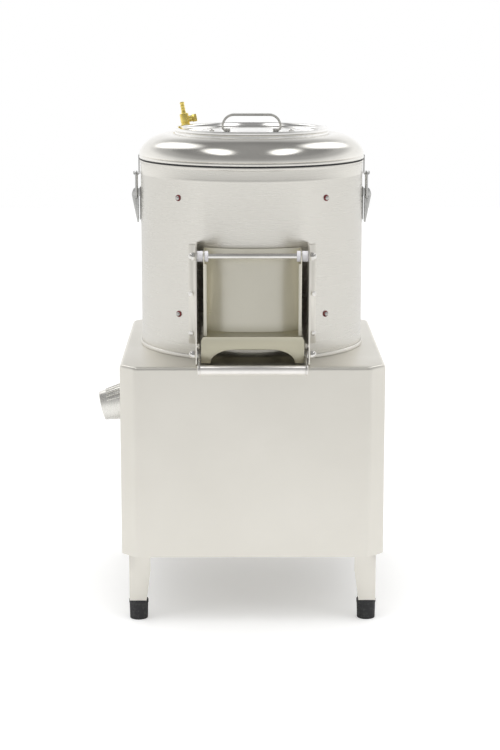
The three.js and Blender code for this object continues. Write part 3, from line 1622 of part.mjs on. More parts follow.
function drivenPulley() {
  const bore = spindleRadius + pinGap;
  const innerRim = bigPulleyRadius - beltHeight / 2 - 3 * beltGap - pulleyRimWall;
  const half = pulleyHeight / 2;
  const hubHalf = pulleyHubHeight / 2;
  const webHalf = pulleyWeb / 2;
  const wheel = turned([
    [bore, beltPlane - hubHalf], [pulleyHubRadius, beltPlane - hubHalf], [pulleyHubRadius, beltPlane - webHalf],
    [innerRim, beltPlane - webHalf], [innerRim, beltPlane - half], ...groovePoints(bigPulleyRadius),
    [innerRim, beltPlane + half], [innerRim, beltPlane + webHalf], [pulleyHubRadius, beltPlane + webHalf],
    [pulleyHubRadius, beltPlane + hubHalf], [bore, beltPlane + hubHalf],
  ], machinedSides);
  const [low, high] = [beltPlane - pulleyWeb, beltPlane + pulleyWeb];
  const hole = rodZ(pulleyHoleRadius, low, high, pulleyHoleCircle, 0, smallSides);
  const holes = [];
  for (let k = 0; k < pulleyHoleCount; k += 1) {
    holes.push(hole.clone().rotateZ((2 * Math.PI * k) / pulleyHoleCount));
  }
  add('driven_pulley', carved(wheel, ...holes), finishes.cast);
}

function motorPulley() {
  const half = pulleyHeight / 2;
  const top = motorBodyBottom - motorShieldHeight + motorShaftSocket;
  const wheel = turned([
    [0, beltPlane - half], ...groovePoints(smallPulleyRadius), [motorShaftRadius, beltPlane + half],
    [motorShaftRadius, top], [0, top],
  ], machinedSides).translate(0, motorBack, 0);
  add('motor_pulley', wheel, finishes.machined);
}

// The belt runs round both pulleys, and its section narrows towards the groove.
function beltRing(offset, height) {
  const wrap = Math.acos((bigPulleyRadius - smallPulleyRadius) / motorBack);
  const [start, end] = [Math.PI / 2 - wrap, Math.PI / 2 + wrap];
  const big = arcPoints(0, 0, bigPulleyRadius + offset, end, start + 2 * Math.PI, beltBigSteps);
  const small = arcPoints(0, motorBack, smallPulleyRadius + offset, start, end, beltSmallSteps);
  return [...big, ...small].map(([x, y]) => new THREE.Vector3(x, y, height));
}

function driveBelt() {
  const out = beltHeight / 2;
  const rings = [
    beltRing(out, beltPlane - beltTopWidth / 2), beltRing(out, beltPlane + beltTopWidth / 2),
    beltRing(-out, beltPlane + beltBottomWidth / 2), beltRing(-out, beltPlane - beltBottomWidth / 2),
  ];
  add('drive_belt', skin(rings, true), finishes.rubber);
}

// Motor, hung on a bracket under the deck

function finnedOutline() {
  const outline = [];
  const pitch = (2 * Math.PI) / motorFinCount;
  const outer = motorRadius + motorFin;
  for (let k = 0; k < motorFinCount; k += 1) {
    const at = (radius, share) => {
      const angle = (k + share) * pitch;
      return [radius * Math.cos(angle), radius * Math.sin(angle)];
    };
    outline.push(at(motorRadius, 0), at(outer, motorFinTaperShare));
    outline.push(at(outer, motorFinShare - motorFinTaperShare), at(motorRadius, motorFinShare));
  }
  return outline;
}

function motorBolts() {
  const inner = motorRailReach - motorRailHalf / 2;
  const outer = motorRailReach + gap + bracketWall + gap + boltHeadHeight;
  const bolts = [];
  for (const y of [-motorRailSpan / 2, motorRailSpan / 2]) {
    for (const z of [motorRailLow, motorRailHigh]) {
      const height = z + motorRailHeight / 2;
      bolts.push(rodX(boltRadius, inner, outer, motorBack + y, height, screwSides));
      bolts.push(rodX(boltHeadRadius, outer - boltHeadHeight, outer, motorBack + y, height, hexSides));
    }
  }
  return bolts;
}

function motorHousing() {
  const body = prismZ(finnedOutline(), motorBodyBottom, motorBodyTop).translate(0, motorBack, 0);
  const face = motorBodyBottom - motorShieldHeight;
  const shieldTop = motorBodyBottom + motorShieldHeight;
  const shield = rodZ(motorShieldRadius, face, shieldTop, 0, motorBack, machinedSides);
  const railHalf = motorRailSpan / 2 + motorRailHalf;
  const rails = [motorRailLow, motorRailHigh].map((low) => box(
    motorRadius - 2 * motorFin, motorRailReach, motorBack - railHalf, motorBack + railHalf,
    low, low + motorRailHeight,
  ));
  const level = (motorBodyBottom + motorBodyTop) / 2;
  const terminals = box(
    -terminalHalf, terminalHalf, motorBack - motorRadius - terminalDepth, motorBack - motorRadius + motorFin,
    level - terminalHeight / 2, level + terminalHeight / 2,
  );
  const socketEnd = face + motorShaftSocket + overrun;
  const socket = rodZ(motorShaftRadius + pinGap, face - overrun, socketEnd, 0, motorBack, machinedSides);
  const whole = joined(body, shield, ...rails, ...motorBolts(), terminals);
  add('motor_housing', carved(whole, socket), finishes.motorPaint);
}

function fanCover() {
  const bottom = motorBodyTop + gap;
  const top = bottom + fanCoverHeight;
  const cup = turned([
    [0, bottom], [fanCoverRadius, bottom], [fanCoverRadius, top - fanCoverEdge],
    [fanCoverRadius - fanCoverEdge, top], [0, top],
  ], machinedSides);
  const start = fanCoverRadius / 4;
  const half = fanSlotWidth / 2;
  const slot = box(start, start + fanSlotLength, -half, half, top - fanSlotDepth, top + overrun);
  const slots = [];
  for (let k = 0; k < fanSlotCount; k += 1) {
    slots.push(slot.clone().rotateZ((2 * Math.PI * k) / fanSlotCount));
  }
  add('motor_fan_cover', carved(cup, ...slots).translate(0, motorBack, 0), finishes.housing);
}

function motorBracket() {
  const face = motorRailReach + gap;
  const top = deckUnderside - gap;
  const low = motorBack - bracketHalf;
  const high = motorBack + bracketHalf;
  const plate = box(face, face + bracketWall, low, high, bracketBottom, top);
  const flange = box(face, face + bracketFlange, low, high, top - bracketWall, top);
  const [root, roof] = [face + bracketWall / 2, top - bracketWall / 2];
  const gusset = [[root, roof], [face + bracketFlange, roof], [root, bracketBottom + bracketFlange]];
  const gussets = [low, high - bracketWall].map((y) => prismY(gusset, y, y + bracketWall));
  const slots = [];
  for (const y of [-motorRailSpan / 2, motorRailSpan / 2]) {
    for (const z of [motorRailLow, motorRailHigh]) {
      const middle = motorBack + y;
      const height = z + motorRailHeight / 2;
      const half = boltSlotLength / 2;
      const radius = boltRadius + gap;
      const ends = [[middle - half + radius, height], [middle + half - radius, height]];
      const outline = linkOutline(ends[0], radius, ends[1], radius);
      slots.push(prismX(outline, face - overrun, face + bracketWall + overrun));
    }
  }
  add('motor_bracket', carved(joined(plate, flange, ...gussets), ...slots), finishes.zinc);
}

// Drain pipe from the drum floor to the rear

function drainSkin(radius, extra) {
  const [centreY, centreZ] = [drainBack + drainBend, drainExitHeight + drainBend];
  const bend = arcPoints(centreY, centreZ, drainBend, Math.PI, (3 * Math.PI) / 2, drainBendSteps);
  const line = [[drainBack, floorTop + extra], ...bend, [cabinetRear + drainReach + extra, drainExitHeight]];
  return pipeAlong(line.map(([y, z]) => new THREE.Vector3(-drainSide, y, z)), radius, drainSides);
}

function drainPipe() {
  const bore = drainSkin(drainRadius - drainWall, overrun);
  add('drain_pipe', carved(drainSkin(drainRadius, 0), bore), finishes.satin);
}

function cableGland() {
  const nutSeat = cabinetRear - sheetWall - gap;
  const nutEnd = nutSeat - glandNutLength;
  const outside = cabinetRear + gap;
  const middle = outside + glandHexLength / 2;
  const end = outside + glandHexLength + glandBodyLength;
  const hex = rodY(glandHexRadius, outside, outside + glandHexLength, glandSide, glandHeight, hexSides);
  const body = rodY(glandBodyRadius, middle, end, glandSide, glandHeight, smallSides);
  const thread = rodY(glandThreadRadius, nutEnd, middle, glandSide, glandHeight, smallSides);
  const nut = rodY(glandHexRadius, nutEnd, nutSeat, glandSide, glandHeight, hexSides);
  const bore = rodY(glandBoreRadius, nutEnd - overrun, end + overrun, glandSide, glandHeight, smallSides);
  add('cable_gland', carved(joined(hex, body, thread, nut), bore), finishes.housing);
}

cabinetShell();
servicePanel();
basePanel();
legsAndFeet();
drumShell();
drumBaseRing();
drumFloor();
abrasiveLiner();
linerScrewSet();
abrasiveDisc();
discNut();
domeLid();
lidSeal();
feedCover();
coverHandle();
waterInlet();
cheeks();
chuteFloor();
hingeRod();
bushes();
outletDoor();
lockingBar();
pivotBolt('pivot_bolt_right', 1);
pivotBolt('pivot_bolt_left', -1);
latches();
timerKnob();
timerBody();
spindle();
bearingHousing();
shaftSeal();
drivenPulley();
motorPulley();
driveBelt();
motorHousing();
fanCover();
motorBracket();
drainPipe();
cableGland();

const outerBox = new THREE.Box3().setFromObject(machine);
const boxMiddle = outerBox.getCenter(new THREE.Vector3());
machine.position.set(-boxMiddle.x, -boxMiddle.y, -outerBox.min.z);
machine.updateMatrixWorld(true);

export default machine;
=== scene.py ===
import math
import bpy
from mathutils import Matrix, Vector


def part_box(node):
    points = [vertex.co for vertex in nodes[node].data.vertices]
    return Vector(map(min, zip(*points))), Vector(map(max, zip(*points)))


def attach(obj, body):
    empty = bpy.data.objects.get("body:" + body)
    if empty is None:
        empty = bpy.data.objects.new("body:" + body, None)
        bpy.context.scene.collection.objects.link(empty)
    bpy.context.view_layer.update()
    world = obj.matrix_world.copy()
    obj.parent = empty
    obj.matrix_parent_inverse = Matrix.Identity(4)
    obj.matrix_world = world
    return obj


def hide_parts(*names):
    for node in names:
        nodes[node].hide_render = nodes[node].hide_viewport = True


# Electric potato peeler, dressed for a studio picture. Lengths in the dictionaries are millimetres.

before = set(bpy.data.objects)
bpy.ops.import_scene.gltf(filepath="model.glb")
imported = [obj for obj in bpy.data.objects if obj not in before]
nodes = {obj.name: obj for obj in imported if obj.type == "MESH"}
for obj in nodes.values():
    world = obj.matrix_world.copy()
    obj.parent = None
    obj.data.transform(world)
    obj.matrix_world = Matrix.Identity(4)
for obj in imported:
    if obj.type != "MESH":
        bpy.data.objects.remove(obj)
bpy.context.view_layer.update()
mm = 0.001
print("frame loaded:", len(nodes), "nodes")


# Places taken from the frame

def middleOf(node):
    low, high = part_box(node)
    return (low + high) / 2


def lowOf(node):
    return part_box(node)[0]


def highOf(node):
    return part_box(node)[1]


axisX = middleOf("cabinet_shell").x
axisY = middleOf("cabinet_shell").y


# Selection and edit helpers

def clearSelection():
    if bpy.context.mode != "OBJECT":
        bpy.ops.object.mode_set(mode="OBJECT")
    bpy.ops.object.select_all(action="DESELECT")


def pick(piece):
    clearSelection()
    piece.select_set(True)
    bpy.context.view_layer.objects.active = piece


def editAll(piece):
    pick(piece)
    bpy.ops.object.mode_set(mode="EDIT")
    bpy.ops.mesh.select_mode(type="VERT")
    bpy.ops.mesh.select_all(action="SELECT")


def settle(piece):
    pick(piece)
    bpy.ops.object.transform_apply(location=True, rotation=True, scale=True)
    return piece


def named(name):
    piece = bpy.context.active_object
    piece.name = name
    piece.data.name = name
    return piece


def cleanUp(piece, distance=0.00001):
    editAll(piece)
    bpy.ops.mesh.remove_doubles(threshold=distance)
    bpy.ops.mesh.normals_make_consistent(inside=False)
    clearSelection()
    return piece


def smooth(piece, degrees=35):
    pick(piece)
    bpy.ops.object.shade_smooth_by_angle(angle=math.radians(degrees))
    return piece


def bevelEdges(piece, width, segments=2, degrees=30):
    pick(piece)
    bevel = piece.modifiers.new("edges", "BEVEL")
    bevel.width = width
    bevel.segments = segments
    bevel.limit_method = "ANGLE"
    bevel.angle_limit = math.radians(degrees)
    bpy.ops.object.modifier_apply(modifier=bevel.name)
    return piece


def cutWith(piece, cutter):
    pick(piece)
    opening = piece.modifiers.new("opening", "BOOLEAN")
    opening.object = cutter
    opening.operation = "DIFFERENCE"
    opening.solver = "EXACT"
    bpy.ops.object.modifier_apply(modifier=opening.name)
    bpy.data.objects.remove(cutter, do_unlink=True)
    return piece


def joinAll(name, pieces):
    clearSelection()
    for piece in pieces:
        piece.select_set(True)
    bpy.context.view_layer.objects.active = pieces[0]
    bpy.ops.object.join()
    return named(name)


def place(piece, body, material, replaced=()):
    piece.data.materials.clear()
    piece.data.materials.append(material)
    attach(piece, body)
    if replaced:
        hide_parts(*replaced)
    return piece


# A line of [radius, height] points in millimetres is extruded point by point and spun about Z.
def spun(name, line, steps=96):
    clearSelection()
    start = Vector((line[0][0] * mm, 0, line[0][1] * mm))
    bpy.ops.mesh.primitive_plane_add(size=mm, location=start)
    piece = named(name)
    editAll(piece)
    bpy.ops.mesh.merge(type="CENTER")
    for before, after in zip(line, line[1:]):
        step = ((after[0] - before[0]) * mm, 0, (after[1] - before[1]) * mm)
        bpy.ops.mesh.extrude_region_move(TRANSFORM_OT_translate={"value": step})
    bpy.ops.mesh.select_all(action="SELECT")
    bpy.ops.mesh.spin(steps=steps, angle=math.tau, center=(0, 0, 0), axis=(0, 0, 1))
    settle(piece)
    return cleanUp(piece)


def closedLine(line):
    return line + [line[0]]


def laid(piece, location, turn=(0, 0, 0)):
    piece.rotation_euler = turn
    piece.location = location
    return settle(piece)


alongX = (0, math.pi / 2, 0)
alongBack = (-math.pi / 2, 0, 0)


# Points of an open line whose corners [a, b, radius] are rounded
def roundedLine(corners, steps=8):
    line = []
    for k, (a, b, radius) in enumerate(corners):
        here = Vector((a, b))
        if radius == 0:
            line.append((a, b))
            continue
        back = (Vector(corners[k - 1][:2]) - here).normalized()
        ahead = (Vector(corners[k + 1][:2]) - here).normalized()
        half = back.angle(ahead) / 2
        centre = here + (back + ahead).normalized() * (radius / math.sin(half))
        start = here + back * (radius / math.tan(half)) - centre
        sweep = start.angle_signed(here + ahead * (radius / math.tan(half)) - centre)
        for i in range(steps + 1):
            turned = start.copy()
            turned.rotate(Matrix.Rotation(-sweep * i / steps, 2))
            line.append(tuple(centre + turned))
    return line


# The same line moved sideways by a wall, to the right of its direction
def offsetLine(line, wall):
    moved = []
    for k, point in enumerate(line):
        before, after = line[max(k - 1, 0)], line[min(k + 1, len(line) - 1)]
        along = (Vector(after) - Vector(before)).normalized()
        moved.append((point[0] + along.y * wall, point[1] - along.x * wall))
    return moved


# A chain of edges through points in millimetres, extruded one by one
def chain(name, points):
    clearSelection()
    bpy.ops.mesh.primitive_plane_add(size=mm, location=Vector(points[0]) * mm)
    piece = named(name)
    editAll(piece)
    bpy.ops.mesh.merge(type="CENTER")
    for before, after in zip(points, points[1:]):
        step = (Vector(after) - Vector(before)) * mm
        bpy.ops.mesh.extrude_region_move(TRANSFORM_OT_translate={"value": step})
    return piece


# Sheet thickness on an open surface
def addWall(piece, thickness, offset=-1, even=False):
    pick(piece)
    wall = piece.modifiers.new("wall", "SOLIDIFY")
    wall.thickness = thickness
    wall.offset = offset
    wall.use_even_offset = even
    bpy.ops.object.modifier_apply(modifier=wall.name)
    return piece


# A strip of sheet: a line of [x, z] points made wide along Y, with its wall on the right of the line
def sheetStrip(name, line, width, wall, edge=0.4):
    piece = chain(name, [(x, -width / 2, z) for x, z in line])
    bpy.ops.mesh.select_all(action="SELECT")
    bpy.ops.mesh.extrude_region_move(TRANSFORM_OT_translate={"value": (0, width * mm, 0)})
    settle(piece)
    cleanUp(piece, 0.000001)
    outward = Vector((line[0][1] - line[1][1], 0, line[1][0] - line[0][0]))
    facesOut = nearFace(piece, line).normal.dot(outward) > 0
    addWall(piece, wall * mm, -1 if facesOut else 1, even=True)
    return bevelEdges(piece, edge * mm, 3, 50)


def nearFace(piece, line):
    start = Vector(((line[0][0] + line[1][0]) / 2 * mm, 0, (line[0][1] + line[1][1]) / 2 * mm))
    return min(piece.data.polygons, key=lambda face: (face.center - start).length)


# A round wire along a chain of points
def wire(name, points, radius):
    piece = chain(name, points)
    settle(piece)
    pick(piece)
    bpy.ops.object.convert(target="CURVE")
    bpy.context.active_object.data.bevel_depth = radius * mm
    bpy.context.active_object.data.bevel_resolution = 4
    bpy.context.active_object.data.use_fill_caps = True
    bpy.ops.object.convert(target="MESH")
    return named(name)


def block(name, low, high):
    clearSelection()
    bpy.ops.mesh.primitive_cube_add(size=1, location=(Vector(low) + Vector(high)) / 2)
    piece = named(name)
    piece.scale = Vector(high) - Vector(low)
    return settle(piece)


def hexagon(name, radius, depth, location, turn=(0, 0, 0)):
    clearSelection()
    bpy.ops.mesh.primitive_cylinder_add(vertices=6, radius=radius * mm, depth=depth * mm)
    return bevelEdges(laid(named(name), location, turn), 0.4 * mm, 2)


# A hole through a piece, drilled the way that turn points
def drill(piece, name, radius, location, turn=(0, 0, 0), depth=30, vertices=48):
    clearSelection()
    bpy.ops.mesh.primitive_cylinder_add(
        vertices=vertices, radius=radius * mm, depth=depth * mm, location=location, rotation=turn)
    return cutWith(piece, named(name))


# Leaves the piece in edit mode, with the edges selected whose two ends pass the test
def pickEdges(piece, wanted):
    editAll(piece)
    bpy.ops.mesh.select_mode(type="EDGE")
    bpy.ops.mesh.select_all(action="DESELECT")
    bpy.ops.object.mode_set(mode="OBJECT")
    for edge in piece.data.edges:
        first, second = (piece.data.vertices[i].co for i in edge.vertices)
        edge.select = wanted(first, second)
    bpy.ops.object.mode_set(mode="EDIT")


def newObject(name, data):
    piece = bpy.data.objects.new(name, data)
    bpy.context.scene.collection.objects.link(piece)
    return piece


# A merged copy of a frame node whose edges get a small round
def dressed(node, body, material, width=0.4, segments=2, degrees=30):
    clearSelection()
    piece = newObject(node + "_dressed", nodes[node].data.copy())
    editAll(piece)
    bpy.ops.mesh.remove_doubles(threshold=0.00002)
    bpy.ops.mesh.dissolve_limited(angle_limit=math.radians(1))
    clearSelection()
    bevelEdges(piece, width * mm, segments, degrees)
    smooth(piece, 32)
    return place(piece, body, material, [node])


# Shared effects as node groups

def startGroup(name, inputs, outputs):
    group = bpy.data.node_groups.new(name, "ShaderNodeTree")
    for label, kind, value in inputs:
        socket = group.interface.new_socket(label, in_out="INPUT", socket_type=kind)
        socket.default_value = value
    for label, kind in outputs:
        group.interface.new_socket(label, in_out="OUTPUT", socket_type=kind)
    return group, group.nodes.new("NodeGroupInput"), group.nodes.new("NodeGroupOutput")


# A socket takes a plain value or a link
def feed(tree, socket, value):
    if isinstance(value, bpy.types.NodeSocket):
        tree.links.new(value, socket)
    else:
        socket.default_value = value


# A node with its settings and what feeds its sockets, all by name
def addNode(tree, kind, **settings):
    node = tree.nodes.new(kind)
    for label, value in settings.items():
        if hasattr(node, label):
            setattr(node, label, value)
        else:
            feed(tree, node.inputs[label.replace("_", " ")], value)
    return node


def calc(tree, operation, first, second=None, kind="ShaderNodeMath"):
    node = addNode(tree, kind, operation=operation)
    feed(tree, node.inputs[0], first)
    if second is not None:
        feed(tree, node.inputs[1], second)
    return node.outputs[0]


# Carries a value from one range over to another
def remap(tree, value, start, end, low=0.0, high=1.0, way="LINEAR"):
    node = addNode(tree, "ShaderNodeMapRange", interpolation_type=way, Value=value, From_Min=start,
                   From_Max=end, To_Min=low, To_Max=high)
    return node.outputs["Result"]


# Fine parallel scratches: noise that is squeezed across the grain and stretched along it
def buildGrain():
    group, inside, outside = startGroup(
        "brushedGrain",
        [("Vector", "NodeSocketVector", (0, 0, 0)), ("Fineness", "NodeSocketFloat", 700.0),
         ("Patches", "NodeSocketFloat", 6.0)],
        [("Grain", "NodeSocketFloat"), ("Cloud", "NodeSocketFloat")],
    )
    alongFineness = 9.0
    split = addNode(group, "ShaderNodeSeparateXYZ", Vector=inside.outputs["Vector"])
    merge = addNode(
        group, "ShaderNodeCombineXYZ",
        X=calc(group, "MULTIPLY", split.outputs["X"], alongFineness),
        Y=calc(group, "MULTIPLY", split.outputs["Y"], alongFineness),
        Z=calc(group, "MULTIPLY", split.outputs["Z"], inside.outputs["Fineness"]),
    )
    fine = addNode(
        group, "ShaderNodeTexNoise", Vector=merge.outputs[0], Scale=1.0, Detail=3.0, Roughness=0.6)
    cloud = addNode(group, "ShaderNodeTexNoise", Vector=inside.outputs["Vector"],
                    Scale=inside.outputs["Patches"], Detail=4.0, Roughness=0.55)
    group.links.new(fine.outputs["Fac"], outside.inputs["Grain"])
    group.links.new(cloud.outputs["Fac"], outside.inputs["Cloud"])
    return group


# Rings left by spinning and polishing: noise over the distance from the Z axis
def buildRings():
    group, inside, outside = startGroup(
        "spunRings",
        [("Vector", "NodeSocketVector", (0, 0, 0)), ("Fineness", "NodeSocketFloat", 900.0)],
        [("Rings", "NodeSocketFloat")],
    )
    split = addNode(group, "ShaderNodeSeparateXYZ", Vector=inside.outputs["Vector"])
    squares = [calc(group, "POWER", calc(group, "ABSOLUTE", split.outputs[way]), 2.0) for way in "XY"]
    reach = calc(group, "SQRT", calc(group, "ADD", *squares))
    merge = addNode(
        group, "ShaderNodeCombineXYZ", X=calc(group, "MULTIPLY", reach, inside.outputs["Fineness"]),
        Y=calc(group, "MULTIPLY", split.outputs["Z"], inside.outputs["Fineness"]),
    )
    noise = addNode(
        group, "ShaderNodeTexNoise", Vector=merge.outputs[0], Scale=1.0, Detail=2.0, Roughness=0.5)
    group.links.new(noise.outputs["Fac"], outside.inputs["Rings"])
    return group


# Speckled wear and dust: a soft mask with a sharp edge
def buildSpeckle():
    group, inside, outside = startGroup(
        "speckle",
        [("Vector", "NodeSocketVector", (0, 0, 0)), ("Size", "NodeSocketFloat", 80.0),
         ("Amount", "NodeSocketFloat", 0.5)],
        [("Mask", "NodeSocketFloat"), ("Height", "NodeSocketFloat")],
    )
    sharpness = 8.0
    noise = addNode(group, "ShaderNodeTexNoise", Vector=inside.outputs["Vector"],
                    Scale=inside.outputs["Size"], Detail=6.0, Roughness=0.65)
    threshold = calc(group, "SUBTRACT", 1.0, inside.outputs["Amount"])
    over = calc(group, "SUBTRACT", noise.outputs["Fac"], threshold)
    clamp = addNode(group, "ShaderNodeClamp", Value=calc(group, "MULTIPLY", over, sharpness))
    group.links.new(clamp.outputs[0], outside.inputs["Mask"])
    group.links.new(noise.outputs["Fac"], outside.inputs["Height"])
    return group


grainGroup = buildGrain()
ringGroup = buildRings()
speckleGroup = buildSpeckle()


# Materials

def startMaterial(name, metallic, roughness, centre=(0, 0, 0)):
    material = bpy.data.materials.new(name)
    material.use_nodes = True
    tree = material.node_tree
    shader = tree.nodes["Principled BSDF"]
    shader.inputs["Metallic"].default_value = metallic
    shader.inputs["Roughness"].default_value = roughness
    coords = addNode(tree, "ShaderNodeTexCoord")
    mapping = addNode(tree, "ShaderNodeMapping", Location=(-centre[0], -centre[1], -centre[2]),
                      Vector=coords.outputs["Object"])
    return material, tree, shader, mapping.outputs["Vector"]


def placeGroup(tree, group, vector, **values):
    return addNode(tree, "ShaderNodeGroup", node_tree=group, Vector=vector, **values)


# Noise keeps near its middle, so only that part of it is used
def spread(tree, value, low, high):
    return remap(tree, value, 0.3, 0.7, low, high)


def tint(tree, mask, first, second):
    mix = addNode(tree, "ShaderNodeMix", data_type="RGBA", Factor=mask, A=(*first, 1), B=(*second, 1))
    return mix.outputs["Result"]


# Roughness that plays round the look's own value
def playOf(tree, value, look):
    return spread(tree, value, look["roughness"] - look["play"], look["roughness"] + look["play"])


def finishMaterial(tree, shader, look, colour, rough, height, depth):
    tree.links.new(colour, shader.inputs["Base Color"])
    tree.links.new(rough, shader.inputs["Roughness"])
    relief = addNode(tree, "ShaderNodeBump", Strength=look["bump"], Distance=depth, Height=height)
    tree.links.new(relief.outputs["Normal"], shader.inputs["Normal"])


def brushedSteel(name, look, turn=(0, 0, 0)):
    material, tree, shader, vector = startMaterial(name, 1.0, look["roughness"])
    turned = addNode(tree, "ShaderNodeMapping", Rotation=turn, Vector=vector)
    brushed = placeGroup(
        tree, grainGroup, turned.outputs["Vector"], Fineness=look["fineness"], Patches=look["patches"])
    grain, cloud = brushed.outputs["Grain"], brushed.outputs["Cloud"]
    colour = tint(tree, spread(tree, cloud, 0, 1), look["dark"], look["light"])
    smears = spread(tree, cloud, -look["play"] / 2, look["play"] / 2)
    rough = calc(tree, "ADD", playOf(tree, grain, look), smears)
    finishMaterial(tree, shader, look, colour, rough, grain, 0.00004)
    return material


# Painted shade: the foot of the door, below its ledge, is painted a darker, warmer colour than its top,
# standing in for the shade there
def paintShadeBelow(material, look):
    tree = material.node_tree
    shader = tree.nodes["Principled BSDF"]
    unshadedColour = shader.inputs["Base Color"].links[0].from_socket
    coords = tree.nodes["Texture Coordinate"]
    split = addNode(tree, "ShaderNodeSeparateXYZ", Vector=coords.outputs["Object"])
    # Painted shade: below the given heights the door's colour blends into the darker painted-shade colour
    above = remap(tree, split.outputs["Z"], look["paintedShadeFrom"], look["paintedShadeTo"], way="SMOOTHSTEP")
    mix = addNode(tree, "ShaderNodeMix", data_type="RGBA", Factor=above, A=(*look["paintedShadeColour"], 1), B=unshadedColour)
    tree.links.new(mix.outputs["Result"], shader.inputs["Base Color"])
    return material


def polishedSteel(name, look):
    material, tree, shader, vector = startMaterial(name, 1.0, look["roughness"], (axisX, axisY, 0))
    rings = placeGroup(tree, ringGroup, vector, Fineness=look["fineness"]).outputs["Rings"]
    smudge = placeGroup(tree, speckleGroup, vector, Size=look["smudgeSize"], Amount=0.55)
    colour = tint(tree, smudge.outputs["Mask"], look["light"], look["dark"])
    finishMaterial(tree, shader, look, colour, playOf(tree, rings, look), rings, 0.00002)
    return material


def grainyPlastic(name, look, metallic=0.0):
    material, tree, shader, vector = startMaterial(name, metallic, look["roughness"])
    spots = placeGroup(tree, speckleGroup, vector, Size=look["size"], Amount=look["amount"])
    colour = tint(tree, spots.outputs["Mask"], look["base"], look["spot"])
    height = spots.outputs["Height"]
    finishMaterial(tree, shader, look, colour, playOf(tree, height, look), height, look["depth"])
    return material


sheetLook = {
    "light": (0.84, 0.815, 0.75), "dark": (0.79, 0.765, 0.70), "roughness": 0.36, "play": 0.05,
    "fineness": 900.0, "patches": 5.0, "bump": 0.10,
}
drumLook = {
    "light": (0.78, 0.76, 0.705), "dark": (0.74, 0.72, 0.668), "roughness": 0.30, "play": 0.05,
    "fineness": 1100.0, "patches": 4.0, "bump": 0.10,
}
domeLook = {
    "light": (0.86, 0.84, 0.79), "dark": (0.82, 0.80, 0.75), "roughness": 0.13, "play": 0.03,
    "fineness": 900.0, "smudgeSize": 14.0, "bump": 0.12,
}
trimLook = {
    "light": (0.84, 0.825, 0.79), "dark": (0.79, 0.775, 0.74), "roughness": 0.16, "play": 0.03,
    "fineness": 700.0, "smudgeSize": 40.0, "bump": 0.06,
}
coverLook = {
    "light": (0.95, 0.94, 0.92), "dark": (0.92, 0.91, 0.88), "roughness": 0.12, "play": 0.03,
    "fineness": 700.0, "smudgeSize": 30.0, "bump": 0.04,
}
barLook = {
    "light": (0.96, 0.935, 0.90), "dark": (0.93, 0.905, 0.87), "roughness": 0.32, "play": 0.04,
    "fineness": 700.0, "smudgeSize": 40.0, "bump": 0.06,
}
handleLook = {
    "light": (0.50, 0.49, 0.46), "dark": (0.44, 0.43, 0.40), "roughness": 0.20, "play": 0.04,
    "fineness": 700.0, "smudgeSize": 60.0, "bump": 0.08,
}
doorLook = {
    "light": (0.84, 0.81, 0.70), "dark": (0.79, 0.76, 0.65), "roughness": 0.33, "play": 0.05,
    "fineness": 800.0, "patches": 9.0, "bump": 0.10,
    # Painted shade: a darker colour painted onto the door below its ledge, fading in between the two heights
    "paintedShadeColour": (0.52, 0.495, 0.385), "paintedShadeFrom": 0.470, "paintedShadeTo": 0.497,  # heights in metres
}
plateLook = {
    "light": (0.60, 0.60, 0.585), "dark": (0.50, 0.50, 0.49), "roughness": 0.30, "play": 0.06,
    "fineness": 500.0, "patches": 60.0, "bump": 0.08,
}
turnedLook = {**plateLook, "roughness": 0.25}
knobLook = {
    **plateLook, "light": (0.86, 0.845, 0.80), "dark": (0.79, 0.775, 0.73), "roughness": 0.26,
}
rubberLook = {
    "base": (0.022, 0.022, 0.024), "spot": (0.05, 0.05, 0.05),
    "roughness": 0.62, "play": 0.08, "size": 160.0, "amount": 0.5, "bump": 0.25, "depth": 0.0002,
}
bushLook = {
    "base": (0.78, 0.77, 0.80), "spot": (0.70, 0.69, 0.71),
    "roughness": 0.38, "play": 0.05, "size": 120.0, "amount": 0.45, "bump": 0.08, "depth": 0.0001,
}
washerLook = {
    "base": (0.20, 0.028, 0.032), "spot": (0.30, 0.05, 0.05),
    "roughness": 0.5, "play": 0.06, "size": 300.0, "amount": 0.5, "bump": 0.1, "depth": 0.0001,
}
plasticLook = {
    "base": (0.02, 0.02, 0.021), "spot": (0.035, 0.035, 0.036),
    "roughness": 0.5, "play": 0.05, "size": 400.0, "amount": 0.5, "bump": 0.2, "depth": 0.0001,
}
paintLook = {
    "base": (0.11, 0.13, 0.15), "spot": (0.14, 0.16, 0.18),
    "roughness": 0.45, "play": 0.06, "size": 90.0, "amount": 0.5, "bump": 0.2, "depth": 0.0002,
}
gritLook = {
    "base": (0.12, 0.11, 0.10), "spot": (0.30, 0.28, 0.25),
    "roughness": 0.9, "play": 0.06, "size": 420.0, "amount": 0.52, "bump": 0.9, "depth": 0.0015,
}
brassLook = {
    "base": (0.95, 0.76, 0.22), "spot": (0.84, 0.64, 0.16),
    "roughness": 0.26, "play": 0.06, "size": 120.0, "amount": 0.5, "bump": 0.05, "depth": 0.0001,
}
castLook = {
    "base": (0.32, 0.33, 0.34), "spot": (0.26, 0.27, 0.28),
    "roughness": 0.55, "play": 0.08, "size": 200.0, "amount": 0.5, "bump": 0.3, "depth": 0.0004,
}

